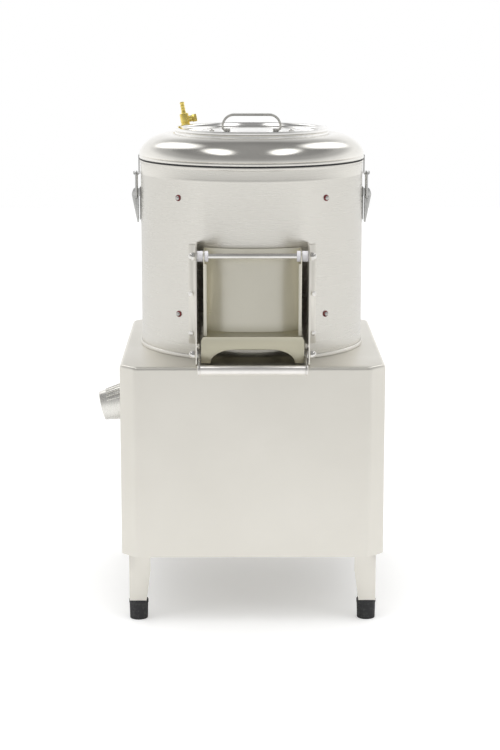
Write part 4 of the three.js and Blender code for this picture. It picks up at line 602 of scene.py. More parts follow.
sheetSteel = brushedSteel("satin sheet", sheetLook)
drumSteel = brushedSteel("rolled drum steel", drumLook)
domeSteel = polishedSteel("polished dome", domeLook)
trimSteel = polishedSteel("polished trim", trimLook)
coverSteel = polishedSteel("polished cover", coverLook)
barSteel = polishedSteel("grip bar steel", barLook)
handleSteel = polishedSteel("handle steel", handleLook)
# The door steel gets painted shade towards its foot
doorSteel = paintShadeBelow(brushedSteel("door steel", doorLook), doorLook)
plateSteel = brushedSteel("plated pressings", plateLook)
machinedSteel = brushedSteel("turned steel", turnedLook)
knobMetal = brushedSteel("knob metal", knobLook, (0, math.pi / 2, 0))
rubber = grainyPlastic("black rubber", rubberLook)
bushPlastic = grainyPlastic("white bush plastic", bushLook)
washerRed = grainyPlastic("red washer", washerLook)
blackPlastic = grainyPlastic("black plastic", plasticLook)
motorPaint = grainyPlastic("motor paint", paintLook)
grit = grainyPlastic("bonded grit", gritLook)
brass = grainyPlastic("turned brass", brassLook, 1.0)
castMetal = grainyPlastic("cast metal", castLook, 1.0)
print("materials ready")


# Cabinet: a block with bevelled uprights, hollowed from below

cabinet = {
    "chamfer": 25, "bend": 12, "topBend": 6, "wall": 1.5, "deckHole": 29, "pipe": 20, "pipeHole": 20.3,
    "panelLap": 14, "glandHole": 8.3, "timerHole": 6.3,
}


def makeCabinet():
    low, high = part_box("cabinet_shell")
    shell = block("cabinetShell", low, high)

    def upright(first, second):
        return abs(first.z - second.z) > (high.z - low.z) * 0.9

    pickEdges(shell, upright)
    bpy.ops.mesh.bevel(offset=cabinet["chamfer"] * mm, segments=1)
    pickEdges(shell, upright)
    bpy.ops.mesh.bevel(offset=cabinet["bend"] * mm * math.tan(math.pi / 8), segments=5)
    pickEdges(shell, lambda first, second: min(first.z, second.z) > high.z - mm * 0.1)
    bpy.ops.mesh.bevel(offset=cabinet["topBend"] * mm, segments=5)
    bpy.ops.mesh.select_mode(type="FACE")
    bpy.ops.mesh.select_all(action="DESELECT")
    bpy.ops.object.mode_set(mode="OBJECT")
    for face in shell.data.polygons:
        face.select = face.normal.z < -0.9
    bpy.ops.object.mode_set(mode="EDIT")
    bpy.ops.mesh.delete(type="FACE")
    cleanUp(shell)
    addWall(shell, cabinet["wall"] * mm, even=True)
    cutCabinet(shell, low, high)
    place(smooth(shell, 40), "machine", sheetSteel, ["cabinet_shell"])


# Holes for the drive, the drain pipe, the rear panel, the gland and the knob's shaft
def cutCabinet(shell, low, high):
    drill(shell, "deckHole", cabinet["deckHole"], (axisX, axisY, high.z), vertices=64)
    pipe, pipeLow = middleOf("drain_pipe"), lowOf("drain_pipe")
    drill(shell, "pipeHole", cabinet["pipeHole"], (pipe.x, pipeLow.y + cabinet["pipe"] * mm, high.z))
    drill(shell, "rearPipeHole", cabinet["pipeHole"],
          (pipe.x, high.y, pipeLow.z + cabinet["pipe"] * mm), alongBack)
    panelLow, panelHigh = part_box("rear_panel")
    lap, reach = cabinet["panelLap"] * mm, 0.02
    cutWith(shell, block(
        "serviceWindow", (panelLow.x + lap, high.y - reach, panelLow.z + lap),
        (panelHigh.x - lap, high.y + reach, panelHigh.z - lap),
    ))
    gland, timer = middleOf("cable_gland"), middleOf("timer_body")
    drill(shell, "glandHole", cabinet["glandHole"], (gland.x, high.y, gland.z), alongBack, vertices=32)
    drill(shell, "timerHole", cabinet["timerHole"], (low.x, timer.y, timer.z), alongX, vertices=32)


makeCabinet()
corners = ("front_right", "front_left", "rear_right", "rear_left")
for name in ("rear_panel", "base_panel"):
    dressed(name, "machine", sheetSteel, 0.3)
for corner in corners:
    dressed("leg_" + corner, "machine", sheetSteel, 0.5)
print("cabinet ready")


# Feet: turned rubber with one shallow groove

foot = {"radius": 16, "sole": 14.9, "height": 33, "groove": 0.6}


def makeFeet():
    r, sole, high, groove = (foot[k] for k in ("radius", "sole", "height", "groove"))
    line = [
        (0, 0), (sole - 1.2, 0), (sole - 0.3, 0.4), (sole, 1.3), (r - 0.5, high - 8),
        (r - groove, high - 7.2), (r, high - 6.4), (r, high - 1.2), (r - 0.4, high - 0.3),
        (r - 1.2, high), (0, high),
    ]
    for corner in corners:
        centre = middleOf("foot_" + corner)
        piece = laid(spun("foot_" + corner + "_turned", line, 48), (centre.x, centre.y, 0))
        place(smooth(piece, 40), "machine", rubber, ["foot_" + corner])


makeFeet()
print("feet ready")


# Drum, base ring, liner and its screws

drum = {
    "radius": 187.5, "wall": 1.5, "bottom": 432.4, "top": 743.5, "swage": 721, "windowHalf": 76,
    "windowLow": 449, "windowHigh": 614, "windowCorner": 8, "ringLow": 430.3, "liner": 5, "linerGap": 1.9,
    "linerLow": 466, "linerHigh": 716,
}


def windowCutter(extra):
    half = (drum["windowHalf"] + extra) * mm
    cutter = block(
        "window", (axisX - half, axisY - 0.25, (drum["windowLow"] - extra) * mm),
        (axisX + half, axisY - 0.12, (drum["windowHigh"] + extra) * mm),
    )
    pickEdges(cutter, lambda first, second: abs(first.y - second.y) > 0.05)
    bpy.ops.mesh.bevel(offset=drum["windowCorner"] * mm, segments=4)
    clearSelection()
    return cutter


# A closed line of [radius, height] points turned about the drum's axis
def turnedOnAxis(name, line, steps):
    return laid(spun(name, closedLine(line), steps), (axisX, axisY, 0))


def makeDrum():
    r, wall, low, high, swage = (drum[k] for k in ("radius", "wall", "bottom", "top", "swage"))
    shell = turnedOnAxis("drumShell", [
        (r - wall, low), (r, low), (r, swage - 3), (r + 0.35, swage - 1.6), (r + 0.6, swage),
        (r + 0.35, swage + 1.6), (r, swage + 3), (r, high - 5), (r + 0.6, high - 4.4), (r + 1.3, high - 3),
        (r + 1.5, high - 1.5), (r + 1.2, high - 0.4), (r + 0.4, high), (r - wall, high),
    ], 160)
    cutWith(shell, windowCutter(0))
    place(smooth(shell, 30), "machine", drumSteel, ["drum_shell"])
    foot = drum["ringLow"]
    ring = turnedOnAxis("drumBaseRing", [
        (r - 10, foot), (r + 1.9, foot), (r + 2.1, foot + 0.3), (r + 2.1, foot + 4.5), (r + 1.7, foot + 5.5),
        (r + 0.9, foot + 6), (r + 0.3, foot + 6), (r + 0.3, foot + 1.8), (r - 10, foot + 1.8),
    ], 160)
    place(smooth(ring, 30), "machine", drumSteel, ["drum_base_ring"])
    outer = r - drum["linerGap"]
    inner = outer - drum["liner"]
    liner = turnedOnAxis("abrasiveLiner", [
        (inner, drum["linerLow"]), (outer, drum["linerLow"]), (outer, drum["linerHigh"]),
        (inner, drum["linerHigh"]),
    ], 128)
    cutWith(liner, windowCutter(4))
    place(smooth(liner, 30), "machine", grit, ["abrasive_liner"])


makeDrum()

screw = {"washer": 5.2, "washerHeight": 1.2, "head": 3.6, "headHeight": 2.6, "shank": 2.7}


# Each screw is turned about Z from the drum's axis out, and then laid along its own direction.
def makeLinerScrews():
    shank, disc, head, rise = (screw[k] for k in ("shank", "washer", "head", "headHeight"))
    tail = drum["radius"] - drum["linerGap"] - drum["liner"]
    seat = drum["radius"] + 0.3
    top = seat + screw["washerHeight"]
    for name in ("upper_left", "upper_right", "lower_left", "lower_right"):
        node = "liner_screw_" + name
        centre = middleOf(node)
        angle = math.atan2(centre.y - axisY, centre.x - axisX)
        washer = spun(node + "_washer", closedLine([
            (shank + 0.2, seat), (disc - 0.3, seat), (disc, seat + 0.4), (disc - 0.4, top),
            (shank + 0.2, top),
        ]), 40)
        bolt = spun(node + "_head", [
            (0, tail), (shank, tail), (shank, top), (head - 0.2, top), (head, top + 0.8),
            (head * 0.82, top + rise * 0.72), (head * 0.45, top + rise * 0.96), (0, top + rise),
        ], 32)
        for piece in (washer, bolt):
            laid(piece, (axisX, axisY, centre.z), (0, math.pi / 2, angle))
            smooth(piece, 45)
        place(washer, "machine", washerRed)
        place(bolt, "machine", plateSteel, [node])


makeLinerScrews()
print("drum ready")


# Lid: one polished spinning with a rolled band, its seal, two hooks and the feed cover

lid = {
    "radius": 190, "bottom": 745.9, "wall": 1.2, "crown": 142, "rise": 40.4, "band": 6.1, "fullness": 1.75,
    "seat": 131, "seatRise": 37, "mouth": 118.6, "neck": 8,
}
seal = {"inner": 183, "outer": 188.9, "low": 743.8, "high": 745.6}


# The shoulder follows a superellipse from the band to the crown.
def lidShoulder(steps=22):
    points = []
    for i in range(steps + 1):
        angle = math.pi / 2 * i / steps
        across = max(math.cos(angle), 0) ** (2 / lid["fullness"])
        up = math.sin(angle) ** (2 / lid["fullness"])
        points.append((lid["crown"] + (lid["radius"] - lid["crown"]) * across,
                       lid["bottom"] + lid["band"] + (lid["rise"] - lid["band"]) * up))
    return points


def makeLid():
    r, b, wall, seat, mouth = (lid[k] for k in ("radius", "bottom", "wall", "seat", "mouth"))
    top, floor = b + lid["rise"], b + lid["seatRise"]
    outer = [(r - 0.9, b), (r - 0.2, b + 0.4), (r, b + 1), (r, b + 3.2), (r - 0.4, b + 4.1),
             (r - 1.1, b + 5), (r - 0.5, b + 5.7)]
    outer += lidShoulder()
    outer += [(seat + 2.2, top), (seat + 1.1, top - 0.5), (seat + 0.4, top - 1.6), (seat, floor + 0.4),
              (seat - 0.4, floor), (mouth + 0.6, floor), (mouth, floor - 0.6), (mouth, floor - lid["neck"])]
    inner = offsetLine([(r - 0.9, b), (r - 0.9, b + 5)] + lidShoulder(), wall * -1)
    inner = [(x, z) for x, z in inner if x < r - 1]
    inner = [(r - 2.1, b)] + inner + [
        (seat - 1, top - wall), (seat - 1, floor - wall), (mouth + wall, floor - wall),
        (mouth + wall, floor - lid["neck"]),
    ]
    shell = turnedOnAxis("lidDome", outer + inner[::-1], 160)
    place(smooth(shell, 40), "machine", domeSteel, ["dome_lid"])
    r, low, high = seal["outer"], seal["low"], seal["high"]
    ring = turnedOnAxis("lidSeal", [
        (seal["inner"], low), (r - 0.3, low), (r, low + 0.4), (r, high - 0.4), (r - 0.3, high),
        (seal["inner"], high),
    ], 128)
    place(smooth(ring, 40), "machine", rubber, ["lid_seal"])


makeLid()

# Hook under each side of the lid: one strip bent round the latch's wire
catch = {
    "face": 191.2, "wall": 1.6, "width": 15, "top": 750, "hook": 717.95, "lip": 198.4, "lipTop": 722,
    "bend": 1.2,
}


def makeCatches():
    run = roundedLine([
        (catch["face"], catch["top"], 0), (catch["face"], catch["hook"], catch["bend"]),
        (catch["lip"], catch["hook"], catch["bend"]), (catch["lip"], catch["lipTop"], 0),
    ], 5)
    for side, name in ((1, "Right"), (-1, "Left")):
        hook = sheetStrip("catch" + name, run, catch["width"], catch["wall"])
        hook.scale = (side, 1, 1)
        laid(hook, (axisX, axisY, 0))
        cleanUp(hook, 0.000001)
        place(smooth(hook, 40), "machine", plateSteel)


makeCatches()

cover = {
    "radius": 130, "bottom": 783.2, "top": 796.2, "floor": 789.7, "pan": 114, "neck": 116.8, "neckDrop": 5,
    "wall": 1.5, "screwSide": 67,
}


def makeCover():
    r, b, t, f = cover["radius"], cover["bottom"], cover["top"], cover["floor"]
    neck, wall, foot = cover["neck"], cover["wall"], b - cover["neckDrop"]
    bead = (t - b) / 4
    line = [(0, f), (cover["pan"], f), (117.5, f + 0.4), (119.6, f + 1.6), (121, f + 4.4),
            (122.6, t - 0.7), (124.5, t)]
    for middle in (t - bead, b + bead):
        line += [
            (r - 1.6, middle + bead), (r - 0.5, middle + bead * 0.8), (r, middle + bead * 0.3),
            (r, middle - bead * 0.3), (r - 0.5, middle - bead * 0.8), (r - 1.6, middle - bead),
        ]
    line += [(neck, b), (neck, foot), (neck - wall, foot), (neck - wall, f - wall), (0, f - wall)]
    body = laid(spun("feedCover", line, 144), (axisX, axisY, 0))
    place(smooth(body, 40), "cover", coverSteel, ["feed_cover"])
    for side, name in ((-1, "Left"), (1, "Right")):
        nut = spun("coverNut" + name, [
            (0, f + 0.05), (4.2, f + 0.05), (4.2, f + 1.5), (3.4, f + 2.4), (1.6, f + 2.95), (0, f + 3),
        ], 32)
        laid(nut, (axisX + side * cover["screwSide"] * mm, axisY, 0))
        place(smooth(nut, 40), "cover", trimSteel)


makeCover()

# Strap handle: one bent strip with turned-in feet
handle = {
    "half": 50.5, "width": 20, "strap": 3.6, "footEnd": 36, "footBend": 7, "topBend": 21, "edge": 0.9,
}


def makeHandle():
    bottom, top = lowOf("cover_handle").z / mm, highOf("cover_handle").z / mm
    half, end = handle["half"], handle["footEnd"]
    run = roundedLine([
        (end, bottom, 0), (half, bottom, handle["footBend"]), (half, top, handle["topBend"]),
        (-half, top, handle["topBend"]), (-half, bottom, handle["footBend"]), (-end, bottom, 0),
    ], 14)
    strip = sheetStrip("coverHandle", run[::-1], handle["width"], handle["strap"], handle["edge"])
    laid(strip, (axisX, axisY, 0))
    place(smooth(strip, 40), "cover", handleSteel, ["cover_handle"])


makeHandle()
print("lid and cover ready")


# Outlet: cheeks, floor, door, rod, bushes, bar and bolts

cheekScrew = {"low": 39, "pitch": 65.5, "reach": 98, "radius": 5.4, "proud": 2.6}


# The screw heads on a cheek's flange are a shinier steel
def markScrews(piece):
    piece.data.materials.append(trimSteel)
    low = lowOf("cheek_right").z + cheekScrew["low"] * mm
    seat = (drum["radius"] + cheekScrew["proud"]) * mm
    radius = cheekScrew["radius"] * mm
    for face in piece.data.polygons:
        spot = face.center
        beside = abs(abs(spot.x - axisX) - cheekScrew["reach"] * mm) < radius
        proud = math.hypot(spot.x - axisX, spot.y - axisY) > seat
        near = min(abs(spot.z - low), abs(spot.z - low - cheekScrew["pitch"] * mm)) < radius
        if beside and proud and near:
            face.material_index = 1


for name in ("cheek_right", "cheek_left"):
    markScrews(dressed(name, "machine", sheetSteel, 0.35))
dressed("chute_floor", "machine", sheetSteel, 0.3)
dressed("outlet_door", "door", doorSteel, 0.35)

rod = {"radius": 4.5, "nut": 7.4, "hex": 6, "dome": 5.6, "bush": 8.7, "bushHole": 4.9, "seat": 91, "gap": 0.3}


# Hexagon and dome of a cap nut whose seat is at x and which points to one side
def capNut(name, x, side, y, z, body):
    start, r = rod["hex"] + rod["gap"], rod["dome"]
    middle = x + side * (rod["hex"] / 2 + rod["gap"]) * mm
    hexPart = hexagon(name + "Hex", rod["nut"], rod["hex"], (middle, y, z), alongX)
    dome = spun(name + "Dome", [
        (0, start - 1), (r, start - 1), (r, start), (r * 0.94, start + 1.6), (r * 0.76, start + 3.2),
        (r * 0.45, start + 4.5), (0, start + 5),
    ], 32)
    laid(dome, (x, y, z), (0, side * math.pi / 2, 0))
    for piece in (hexPart, dome):
        place(smooth(piece, 40), body, trimSteel)


def makeRod():
    centre = middleOf("hinge_rod")
    low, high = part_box("bush_inner_left")
    y, z = (low.y + high.y) / 2, (low.z + high.z) / 2
    reach = rod["seat"] + rod["hex"]
    line = [(0, -reach), (rod["radius"], -reach), (rod["radius"], reach), (0, reach)]
    pin = laid(spun("hingeRod", line, 48), (centre.x, y, z), alongX)
    place(smooth(pin), "machine", trimSteel, ["hinge_rod"])
    for side, name in ((1, "Right"), (-1, "Left")):
        capNut("rodNut" + name, centre.x + side * rod["seat"] * mm, side, y, z, "machine")
    bore, r = rod["bushHole"], rod["bush"]
    for name in ("bush_outer_right", "bush_inner_right", "bush_outer_left", "bush_inner_left"):
        low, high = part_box(name)
        half = (high.x - low.x) / 2 / mm
        ring = closedLine([
            (bore, -half), (r - 0.8, -half), (r - 0.2, -half + 0.3), (r, -half + 0.9), (r, half - 0.9),
            (r - 0.2, half - 0.3), (r - 0.8, half), (bore, half),
        ])
        piece = laid(spun(name + "_turned", ring, 48), ((low.x + high.x) / 2, y, z), alongX)
        place(smooth(piece), "machine", bushPlastic, [name])


makeRod()

bar = {
    "grip": 8, "half": 88.4, "armInner": 84, "arm": 2.5, "root": 9, "end": 9.5, "pivot": 4.35, "bolt": 4,
    "boltIn": 12, "boltOut": 6, "head": 6.5, "headHeight": 4, "headInset": 2.3, "washer": 8,
    "washerHole": 4.1, "washerHalf": 0.95, "washerGap": 1.25,
}


# A flat arm: the hull round two discs, drilled at its root
def armPlate(name, x0, x1, root, end):
    middle = (x0 + x1) / 2
    clearSelection()
    discs = []
    for centre, radius in ((root, bar["root"]), (end, bar["end"])):
        bpy.ops.mesh.primitive_cylinder_add(
            vertices=48, radius=radius * mm, depth=abs(x1 - x0), location=(middle, *centre), rotation=alongX,
        )
        discs.append(named("disc"))
    plate = joinAll(name, discs)
    settle(plate)
    editAll(plate)
    bpy.ops.mesh.convex_hull()
    drill(plate, "pivotHole", bar["pivot"], (middle, *root), alongX, depth=20, vertices=32)
    return bevelEdges(plate, 0.4 * mm, 2)


def makeBar():
    low = lowOf("locking_bar")
    pivot = middleOf("pivot_bolt_right")
    root = (pivot.y, pivot.z)
    end = (low.y + bar["end"] * mm, low.z + bar["end"] * mm)
    r, half = bar["grip"], bar["half"]
    line = [(0, -half), (r - 2, -half), (r - 0.6, -half + 0.6), (r, -half + 2), (r, half - 2),
            (r - 0.6, half - 0.6), (r - 2, half), (0, half)]
    grip = laid(spun("barGrip", line, 64), (axisX, *end), alongX)
    place(smooth(grip), "bar", barSteel, ["locking_bar"])
    for side, name in ((1, "Right"), (-1, "Left")):
        x0 = axisX + side * bar["armInner"] * mm
        x1 = axisX + side * (bar["armInner"] + bar["arm"]) * mm
        place(smooth(armPlate("barArm" + name, x0, x1, root, end)), "bar", trimSteel)
        makePivot(side, name, root)


def makePivot(side, name, root):
    seat = axisX + side * rod["seat"] * mm
    line = [(0, -bar["boltIn"]), (bar["bolt"], -bar["boltIn"]), (bar["bolt"], bar["boltOut"]),
            (0, bar["boltOut"])]
    bolt = laid(spun("pivotBolt" + name, line, 32), (seat, *root), (0, side * math.pi / 2, 0))
    place(smooth(bolt), "machine", trimSteel, ["pivot_bolt_" + name.lower()])
    capNut("pivotNut" + name, seat, side, *root, "machine")
    x = axisX + side * (bar["armInner"] - bar["headInset"]) * mm
    head = hexagon("pivotHead" + name, bar["head"], bar["headHeight"], (x, *root), alongX)
    place(smooth(head), "machine", trimSteel)
    r, hole, half = bar["washer"], bar["washerHole"], bar["washerHalf"]
    washer = spun("pivotWasher" + name, closedLine([
        (hole, -half), (r - 0.3, -half), (r, -half + 0.35), (r, half - 0.35), (r - 0.3, half), (hole, half),
    ]), 40)
    x = axisX + side * (bar["armInner"] + bar["arm"] + bar["washerGap"]) * mm
    place(smooth(laid(washer, (x, *root), alongX)), "machine", trimSteel)


makeBar()
print("outlet ready")


# Latches

latch = {
    "wire": 1.9, "reach": 195, "foot": 677.9, "top": 720.6, "half": 11.2, "footEnd": 4.5, "footBend": 2.6,
    "topBend": 3.5,
}


def makeLatches():
    half, end, low, high = latch["half"], latch["footEnd"], latch["foot"], latch["top"]
    loop = roundedLine([
        (-end, low, 0), (-half, low, latch["footBend"]), (-half, high, latch["topBend"]),
        (half, high, latch["topBend"]), (half, low, latch["footBend"]), (end, low, 0),
    ], 7)
    for side, name in ((1, "right"), (-1, "left")):
        dressed("latch_plate_" + name, "machine", plateSteel, 0.25)
        dressed("latch_lever_" + name, "lever_" + name, plateSteel, 0.3)
        bail = wire("bail_" + name, [(side * latch["reach"], y, z) for y, z in loop], latch["wire"])
        laid(bail, (axisX, axisY, 0))
        place(smooth(bail, 50), "bail_" + name, plateSteel, ["latch_bail_" + name])


makeLatches()


# Brass inlet: turned and hexagonal fittings, tilted with the lid's slope

inlet = {
    "side": 112, "back": 95, "lean": 13, "height": 785.56, "hex": 9, "seat": 1.6, "hexHeight": 5,
    "body": 7.6, "bodyTop": 28, "branch": 5.4, "branchHole": 2.4, "branchHeight": 17.5, "branchEnd": 21,
    "plug": 7.2, "plugLength": 8, "socket": 3.4, "spigot": 5, "drop": 12, "bore": 1.9, "barb": 4,
    "barbStep": 0.8, "barbPitch": 5, "barbCount": 4,
}


def barbLine():
    low, r, bore, pitch = inlet["bodyTop"] + 0.2, inlet["barb"], inlet["bore"], inlet["barbPitch"]
    waist = r - inlet["barbStep"]
    line = [(bore, low), (r, low)]
    for k in range(inlet["barbCount"]):
        start = low + k * pitch
        line += [(r, start + pitch * 0.66), (waist, start + pitch - 0.2), (waist, start + pitch)]
    return closedLine(line + [(bore, low + inlet["barbCount"] * pitch)])


# The side branch with a hexagonal plug and its socket, along X
def makeBranch():
    high, start = inlet["branchHeight"] * mm, inlet["branchEnd"] - inlet["plugLength"]
    r, hole, root = inlet["branch"], inlet["branchHole"], inlet["body"] - 1.5
    branch = spun("inletBranch", closedLine([
        (hole, root), (r, root), (r, start + 0.5), (hole, start + 0.5)]), 40)
    laid(branch, (0, 0, high), alongX)
    middle = (start + inlet["plugLength"] / 2) * mm
    plug = hexagon("inletPlug", inlet["plug"], inlet["plugLength"], (middle, 0, high), alongX)
    drill(plug, "plugSocket", inlet["socket"], (inlet["branchEnd"] * mm, 0, high), alongX, 12, 6)
    return [branch, plug]


def makeInlet():
    around = math.atan2(inlet["back"], -inlet["side"])
    lean = math.radians(inlet["lean"])
    tilt = (Matrix.Rotation(around, 4, "Z") @ Matrix.Rotation(lean, 4, "Y")
            @ Matrix.Rotation(-around, 4, "Z"))
    spot = Vector((axisX - inlet["side"] * mm, axisY + inlet["back"] * mm, inlet["height"] * mm))
    neck, r, top, bore = inlet["seat"] + 0.3, inlet["body"], inlet["bodyTop"], inlet["bore"]
    spigot, drop = inlet["spigot"], inlet["drop"]
    body = spun("inletBody", closedLine([
        (bore, -drop), (spigot - 0.4, -drop), (spigot, -drop + 0.5), (spigot, neck), (r - 0.4, neck),
        (r, neck + 0.5), (r, 10.6), (r - 0.5, 11.1), (r - 0.5, 12.1), (r, 12.6), (r, top - 1.4),
        (r - 0.4, top - 0.5), (r - 1.2, top), (bore, top),
    ]), 48)
    hexMiddle = (inlet["seat"] + inlet["hexHeight"] / 2) * mm
    hexBase = hexagon("inletHex", inlet["hex"], inlet["hexHeight"], (0, 0, hexMiddle))
    drill(hexBase, "inletBore", bore, (0, 0, 3 * mm), depth=50, vertices=24)
    fitting = [body, hexBase] + makeBranch()
    tube = spun("barbTube", barbLine(), 40)
    elbow = joinAll("inletElbow", fitting)
    for piece, node in ((elbow, "inlet_elbow"), (tube, "hose_barb")):
        piece.matrix_world = Matrix.Translation(spot) @ tilt
        settle(piece)
        place(smooth(piece, 35), "machine", brass, [node])


makeInlet()
print("latches and inlet ready")


# Timer knob: a tapered grip that droops, with ribs on two sides, cut flat where it meets the cabinet

knob = {
    "base": 28.6, "end": 24, "length": 33.6, "droop": 13.5, "edge": 1.5, "ribRise": 1.4, "ribWidth": 3.4,
    "ribLength": 22, "ribPitch": 15, "ribCount": 5, "ribCentre": 122, "ribEdge": 0.8, "shaft": 3,
    "shaftLength": 18,
}


def makeRibs():
    taper = math.atan((knob["base"] - knob["end"]) / knob["length"])
    half, long = knob["ribWidth"] / 2 * mm, knob["ribLength"] * mm
    model = block("ribModel", (-knob["edge"] * mm, -half, -long), (knob["ribRise"] * mm, half, long))
    bevelEdges(model, knob["ribEdge"] * mm, 3)
    laid(model, (0, 0, 0), (0, -taper, 0))
    laid(model, (knob["base"] * mm, 0, 0))
    first = knob["ribCentre"] - (knob["ribCount"] - 1) / 2 * knob["ribPitch"]
    ribs = []
    for start in (0, 180):
        for k in range(knob["ribCount"]):
            turn = math.radians(first + start + k * knob["ribPitch"])
            ribs.append(laid(newObject("rib", model.data.copy()), (0, 0, 0), (0, 0, turn)))
    bpy.data.objects.remove(model, do_unlink=True)
    return ribs


def makeKnob():
    r, e, long, edge = (knob[k] for k in ("base", "end", "length", "edge"))
    droop = math.radians(knob["droop"])
    root = r * math.tan(droop) + 4
    taper = (r - e) / long
    body = spun("timerKnob", [
        (0, -root), (r + root * taper, -root), (e + edge * taper, long - edge),
        (e - edge * 0.12, long - edge * 0.55), (e - edge * 0.45, long - edge * 0.15), (e - edge, long),
        (0, long),
    ], 128)
    whole = joinAll("timerKnob", [body] + makeRibs())
    laid(whole, (0, 0, 0), (droop, 0, 0))
    editAll(whole)
    bpy.ops.mesh.bisect(plane_co=(0, 0, 0.3 * mm), plane_no=(0, 0, 1), use_fill=True, clear_inner=True)
    clearSelection()
    reach, r = knob["shaftLength"], knob["shaft"]
    shaft = spun("knobShaft", [(0, -reach), (r, -reach), (r, 1), (0, 1)], 24)
    whole = joinAll("timerKnob", [whole, shaft])
    timer, side = middleOf("timer_body"), lowOf("cabinet_shell").x
    whole.data.transform(Matrix(((0, 0, -1, side), (1, 0, 0, timer.y), (0, 1, 0, timer.z), (0, 0, 0, 1))))
    cleanUp(whole, 0.000001)
    place(smooth(whole, 40), "knob", knobMetal, ["timer_knob"])


makeKnob()

# Drain pipe: a ring extruded down, spun through the bend and extruded to the rear
drain = {"radius": 20, "wall": 2, "bend": 42}


def makeDrain():
    low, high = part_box("drain_pipe")
    radius, bend = drain["radius"] * mm, drain["bend"] * mm
    x, y, exitZ = (low.x + high.x) / 2, low.y + radius, low.z + radius
    clearSelection()
    bpy.ops.mesh.primitive_circle_add(vertices=64, radius=radius, location=(x, y, high.z))
    pipe = named("drainPipe")
    editAll(pipe)
    bpy.ops.mesh.extrude_region_move(TRANSFORM_OT_translate={"value": (0, 0, exitZ + bend - high.z)})
    bpy.ops.mesh.spin(steps=14, angle=-math.pi / 2, center=(x, y + bend, exitZ + bend), axis=(1, 0, 0))
    bpy.ops.mesh.extrude_region_move(TRANSFORM_OT_translate={"value": (0, high.y - (y + bend), 0)})
    settle(pipe)
    cleanUp(pipe)
    addWall(pipe, drain["wall"] * mm)
    place(smooth(pipe), "machine", sheetSteel, ["drain_pipe"])


makeDrain()
dressed("cable_gland", "machine", blackPlastic, 0.4)
print("knob, drain and gland ready")


# Hidden machinery keeps its frame solids

hidden = {
    "drum_floor": sheetSteel, "abrasive_disc": grit, "disc_nut": trimSteel, "timer_body": blackPlastic,
    "spindle": machinedSteel, "bearing_housing": castMetal, "bearing_lower": machinedSteel,
    "bearing_upper": machinedSteel, "shaft_seal": rubber, "driven_pulley": castMetal,
    "motor_pulley": machinedSteel, "drive_belt": rubber, "motor_housing": motorPaint,
    "motor_fan_cover": blackPlastic, "motor_bracket": plateSteel,
}
for name, material in hidden.items():
    nodes[name].data.materials.clear()
    nodes[name].data.materials.append(material)
print("inner pieces painted")


# Floor, light and camera

# Ramps are [height, brightness], from straight down at 0 to straight up at 1; lamps are
# [name, place from the axis, size, power].
studio = {
    "floor": 6.0, "floorGrey": 0.86, "floorRoughness": 0.7, "floorLift": 0.26,
    "front": [(0.0, 0.85), (0.5, 0.82), (0.58, 0.62), (0.74, 0.36), (0.88, 0.30), (1.0, 0.30)],
    "back": [(0.0, 1.0), (0.5, 1.06), (0.64, 0.96), (0.78, 0.50), (0.88, 0.24), (1.0, 0.30)],
    "fill": [(0.0, 0.06), (0.5, 0.08), (1.0, 1.4)],
    "blobs": [(-0.34, -0.08, 0.94), (0.34, -0.08, 0.94), (-0.42, 0.60, 0.68), (0.42, 0.60, 0.68)],
    "blobInner": 0.10, "blobOuter": 0.34, "blobLight": 1.9, "blobShape": (1.75, 0.85, 0.85),
    "lamps": [
        ("topBox", (0, -0.4, 2.4), (1.6, 1.6), 12), ("leftBox", (-2.2, -1.4, 1.2), (0.8, 1.8), 3),
        ("rightBox", (2.2, -1.4, 1.2), (0.8, 1.8), 3),
    ],
    "aim": 0.45,
}


def makeFloor():
    clearSelection()
    bpy.ops.mesh.primitive_plane_add(size=studio["floor"] * 2, location=(axisX, axisY, 0))
    floor = named("studioFloor")
    material, tree, shader = startMaterial("white floor", 0.0, studio["floorRoughness"])[:3]
    shader.inputs["Base Color"].default_value = (studio["floorGrey"],) * 3 + (1,)
    shader.inputs["Emission Color"].default_value = (1, 1, 1, 1)
    path = addNode(tree, "ShaderNodeLightPath")
    lift = calc(tree, "MULTIPLY", path.outputs["Is Camera Ray"], studio["floorLift"])
    tree.links.new(lift, shader.inputs["Emission Strength"])
    floor.data.materials.append(material)


def heightRamp(tree, height, stops):
    value = stops[0][1]
    steps = [
        remap(tree, height, low, high, 0, second - first, "SMOOTHSTEP")
        for (low, first), (high, second) in zip(stops, stops[1:])
    ]
    for step in steps:
        value = calc(tree, "ADD", step, value)
    return value


# A soft oval light as the metal shows it
def lampBlob(tree, direction, spot):
    vectors = "ShaderNodeVectorMath"
    away = calc(tree, "SUBTRACT", direction, Vector(spot).normalized(), vectors)
    shaped = calc(tree, "MULTIPLY", away, studio["blobShape"], vectors)
    far = addNode(tree, vectors, operation="LENGTH", Vector=shaped).outputs["Value"]
    return remap(tree, far, studio["blobInner"], studio["blobOuter"], studio["blobLight"], 0, "SMOOTHSTEP")


def background(tree, strength):
    return addNode(tree, "ShaderNodeBackground", Strength=strength, Color=(1, 1, 1, 1)).outputs[0]


def mixWorld(tree, mask, first, second):
    mix = tree.nodes.new("ShaderNodeMixShader")
    for socket, source in zip(mix.inputs, (mask, first, second)):
        tree.links.new(source, socket)
    return mix.outputs[0]


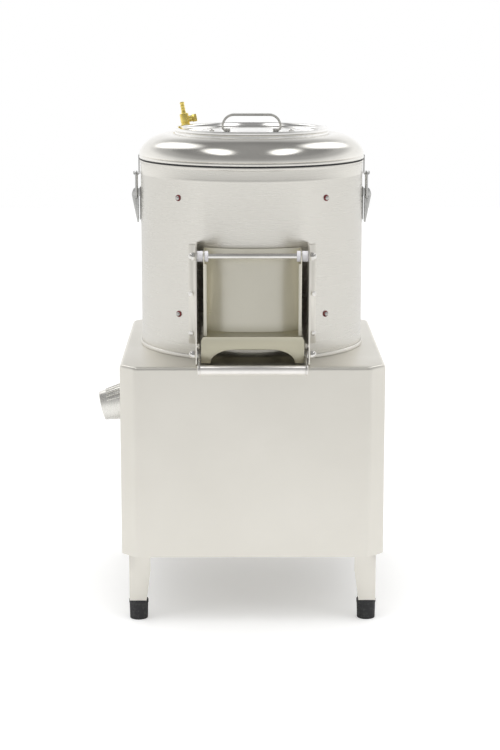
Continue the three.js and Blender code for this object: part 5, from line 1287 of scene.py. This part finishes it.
# White behind the object, and in the metal a white backdrop, a darker ceiling and four soft lamps
def makeWorld():
    world = bpy.data.worlds.new("studio")
    bpy.context.scene.world = world
    world.use_nodes = True
    tree = world.node_tree
    tree.nodes.remove(tree.nodes["Background"])
    direction = addNode(tree, "ShaderNodeTexCoord").outputs["Generated"]
    split = addNode(tree, "ShaderNodeSeparateXYZ", Vector=direction)
    height = calc(tree, "MULTIPLY", calc(tree, "ADD", split.outputs["Z"], 1.0), 0.5)
    share = remap(tree, split.outputs["Y"], -0.5, 0.5)
    ahead = calc(tree, "SUBTRACT", 1.0, share)
    front = calc(tree, "MULTIPLY", heightRamp(tree, height, studio["front"]), ahead)
    back = calc(tree, "MULTIPLY", heightRamp(tree, height, studio["back"]), share)
    room = calc(tree, "ADD", back, front)
    for spot in studio["blobs"]:
        room = calc(tree, "ADD", room, lampBlob(tree, direction, spot))
    path = addNode(tree, "ShaderNodeLightPath")
    fill = background(tree, heightRamp(tree, height, studio["fill"]))
    shown = mixWorld(tree, path.outputs["Is Glossy Ray"], fill, background(tree, room))
    shown = mixWorld(tree, path.outputs["Is Camera Ray"], shown, background(tree, 1.0))
    tree.links.new(shown, tree.nodes["World Output"].inputs["Surface"])


def makeLights():
    target = Vector((axisX, axisY, studio["aim"]))
    for name, spot, size, power in studio["lamps"]:
        data = bpy.data.lights.new(name, "AREA")
        data.shape = "RECTANGLE"
        data.size, data.size_y = size
        data.energy = power
        lamp = newObject(name, data)
        lamp.location = (axisX + spot[0], axisY + spot[1], spot[2])
        lamp.rotation_euler = (target - lamp.location).to_track_quat("-Z", "Y").to_euler()
        lamp.visible_glossy = False


# Focal length in pixels of the frame's longer side, lengths in millimetres and angles in degrees
camera = {
    "focal": 1907.2, "pixels": 750, "sensor": 36, "across": -25.6, "away": 3236.7, "height": 1014.2,
    "pitch": 11.261, "turn": 0.407,
}


def makeCamera():
    data = bpy.data.cameras.new("camera")
    data.sensor_width = camera["sensor"]
    data.lens = camera["focal"] / camera["pixels"] * camera["sensor"]
    view = newObject("camera", data)
    view.location = (axisX + camera["across"] * mm, axisY - camera["away"] * mm, camera["height"] * mm)
    view.rotation_euler = (math.radians(90 - camera["pitch"]), 0, -math.radians(camera["turn"]))
    bpy.context.scene.camera = view

makeFloor()
makeWorld()
makeLights()
makeCamera()
bpy.context.scene.view_settings.view_transform = "Standard"
print("studio ready")
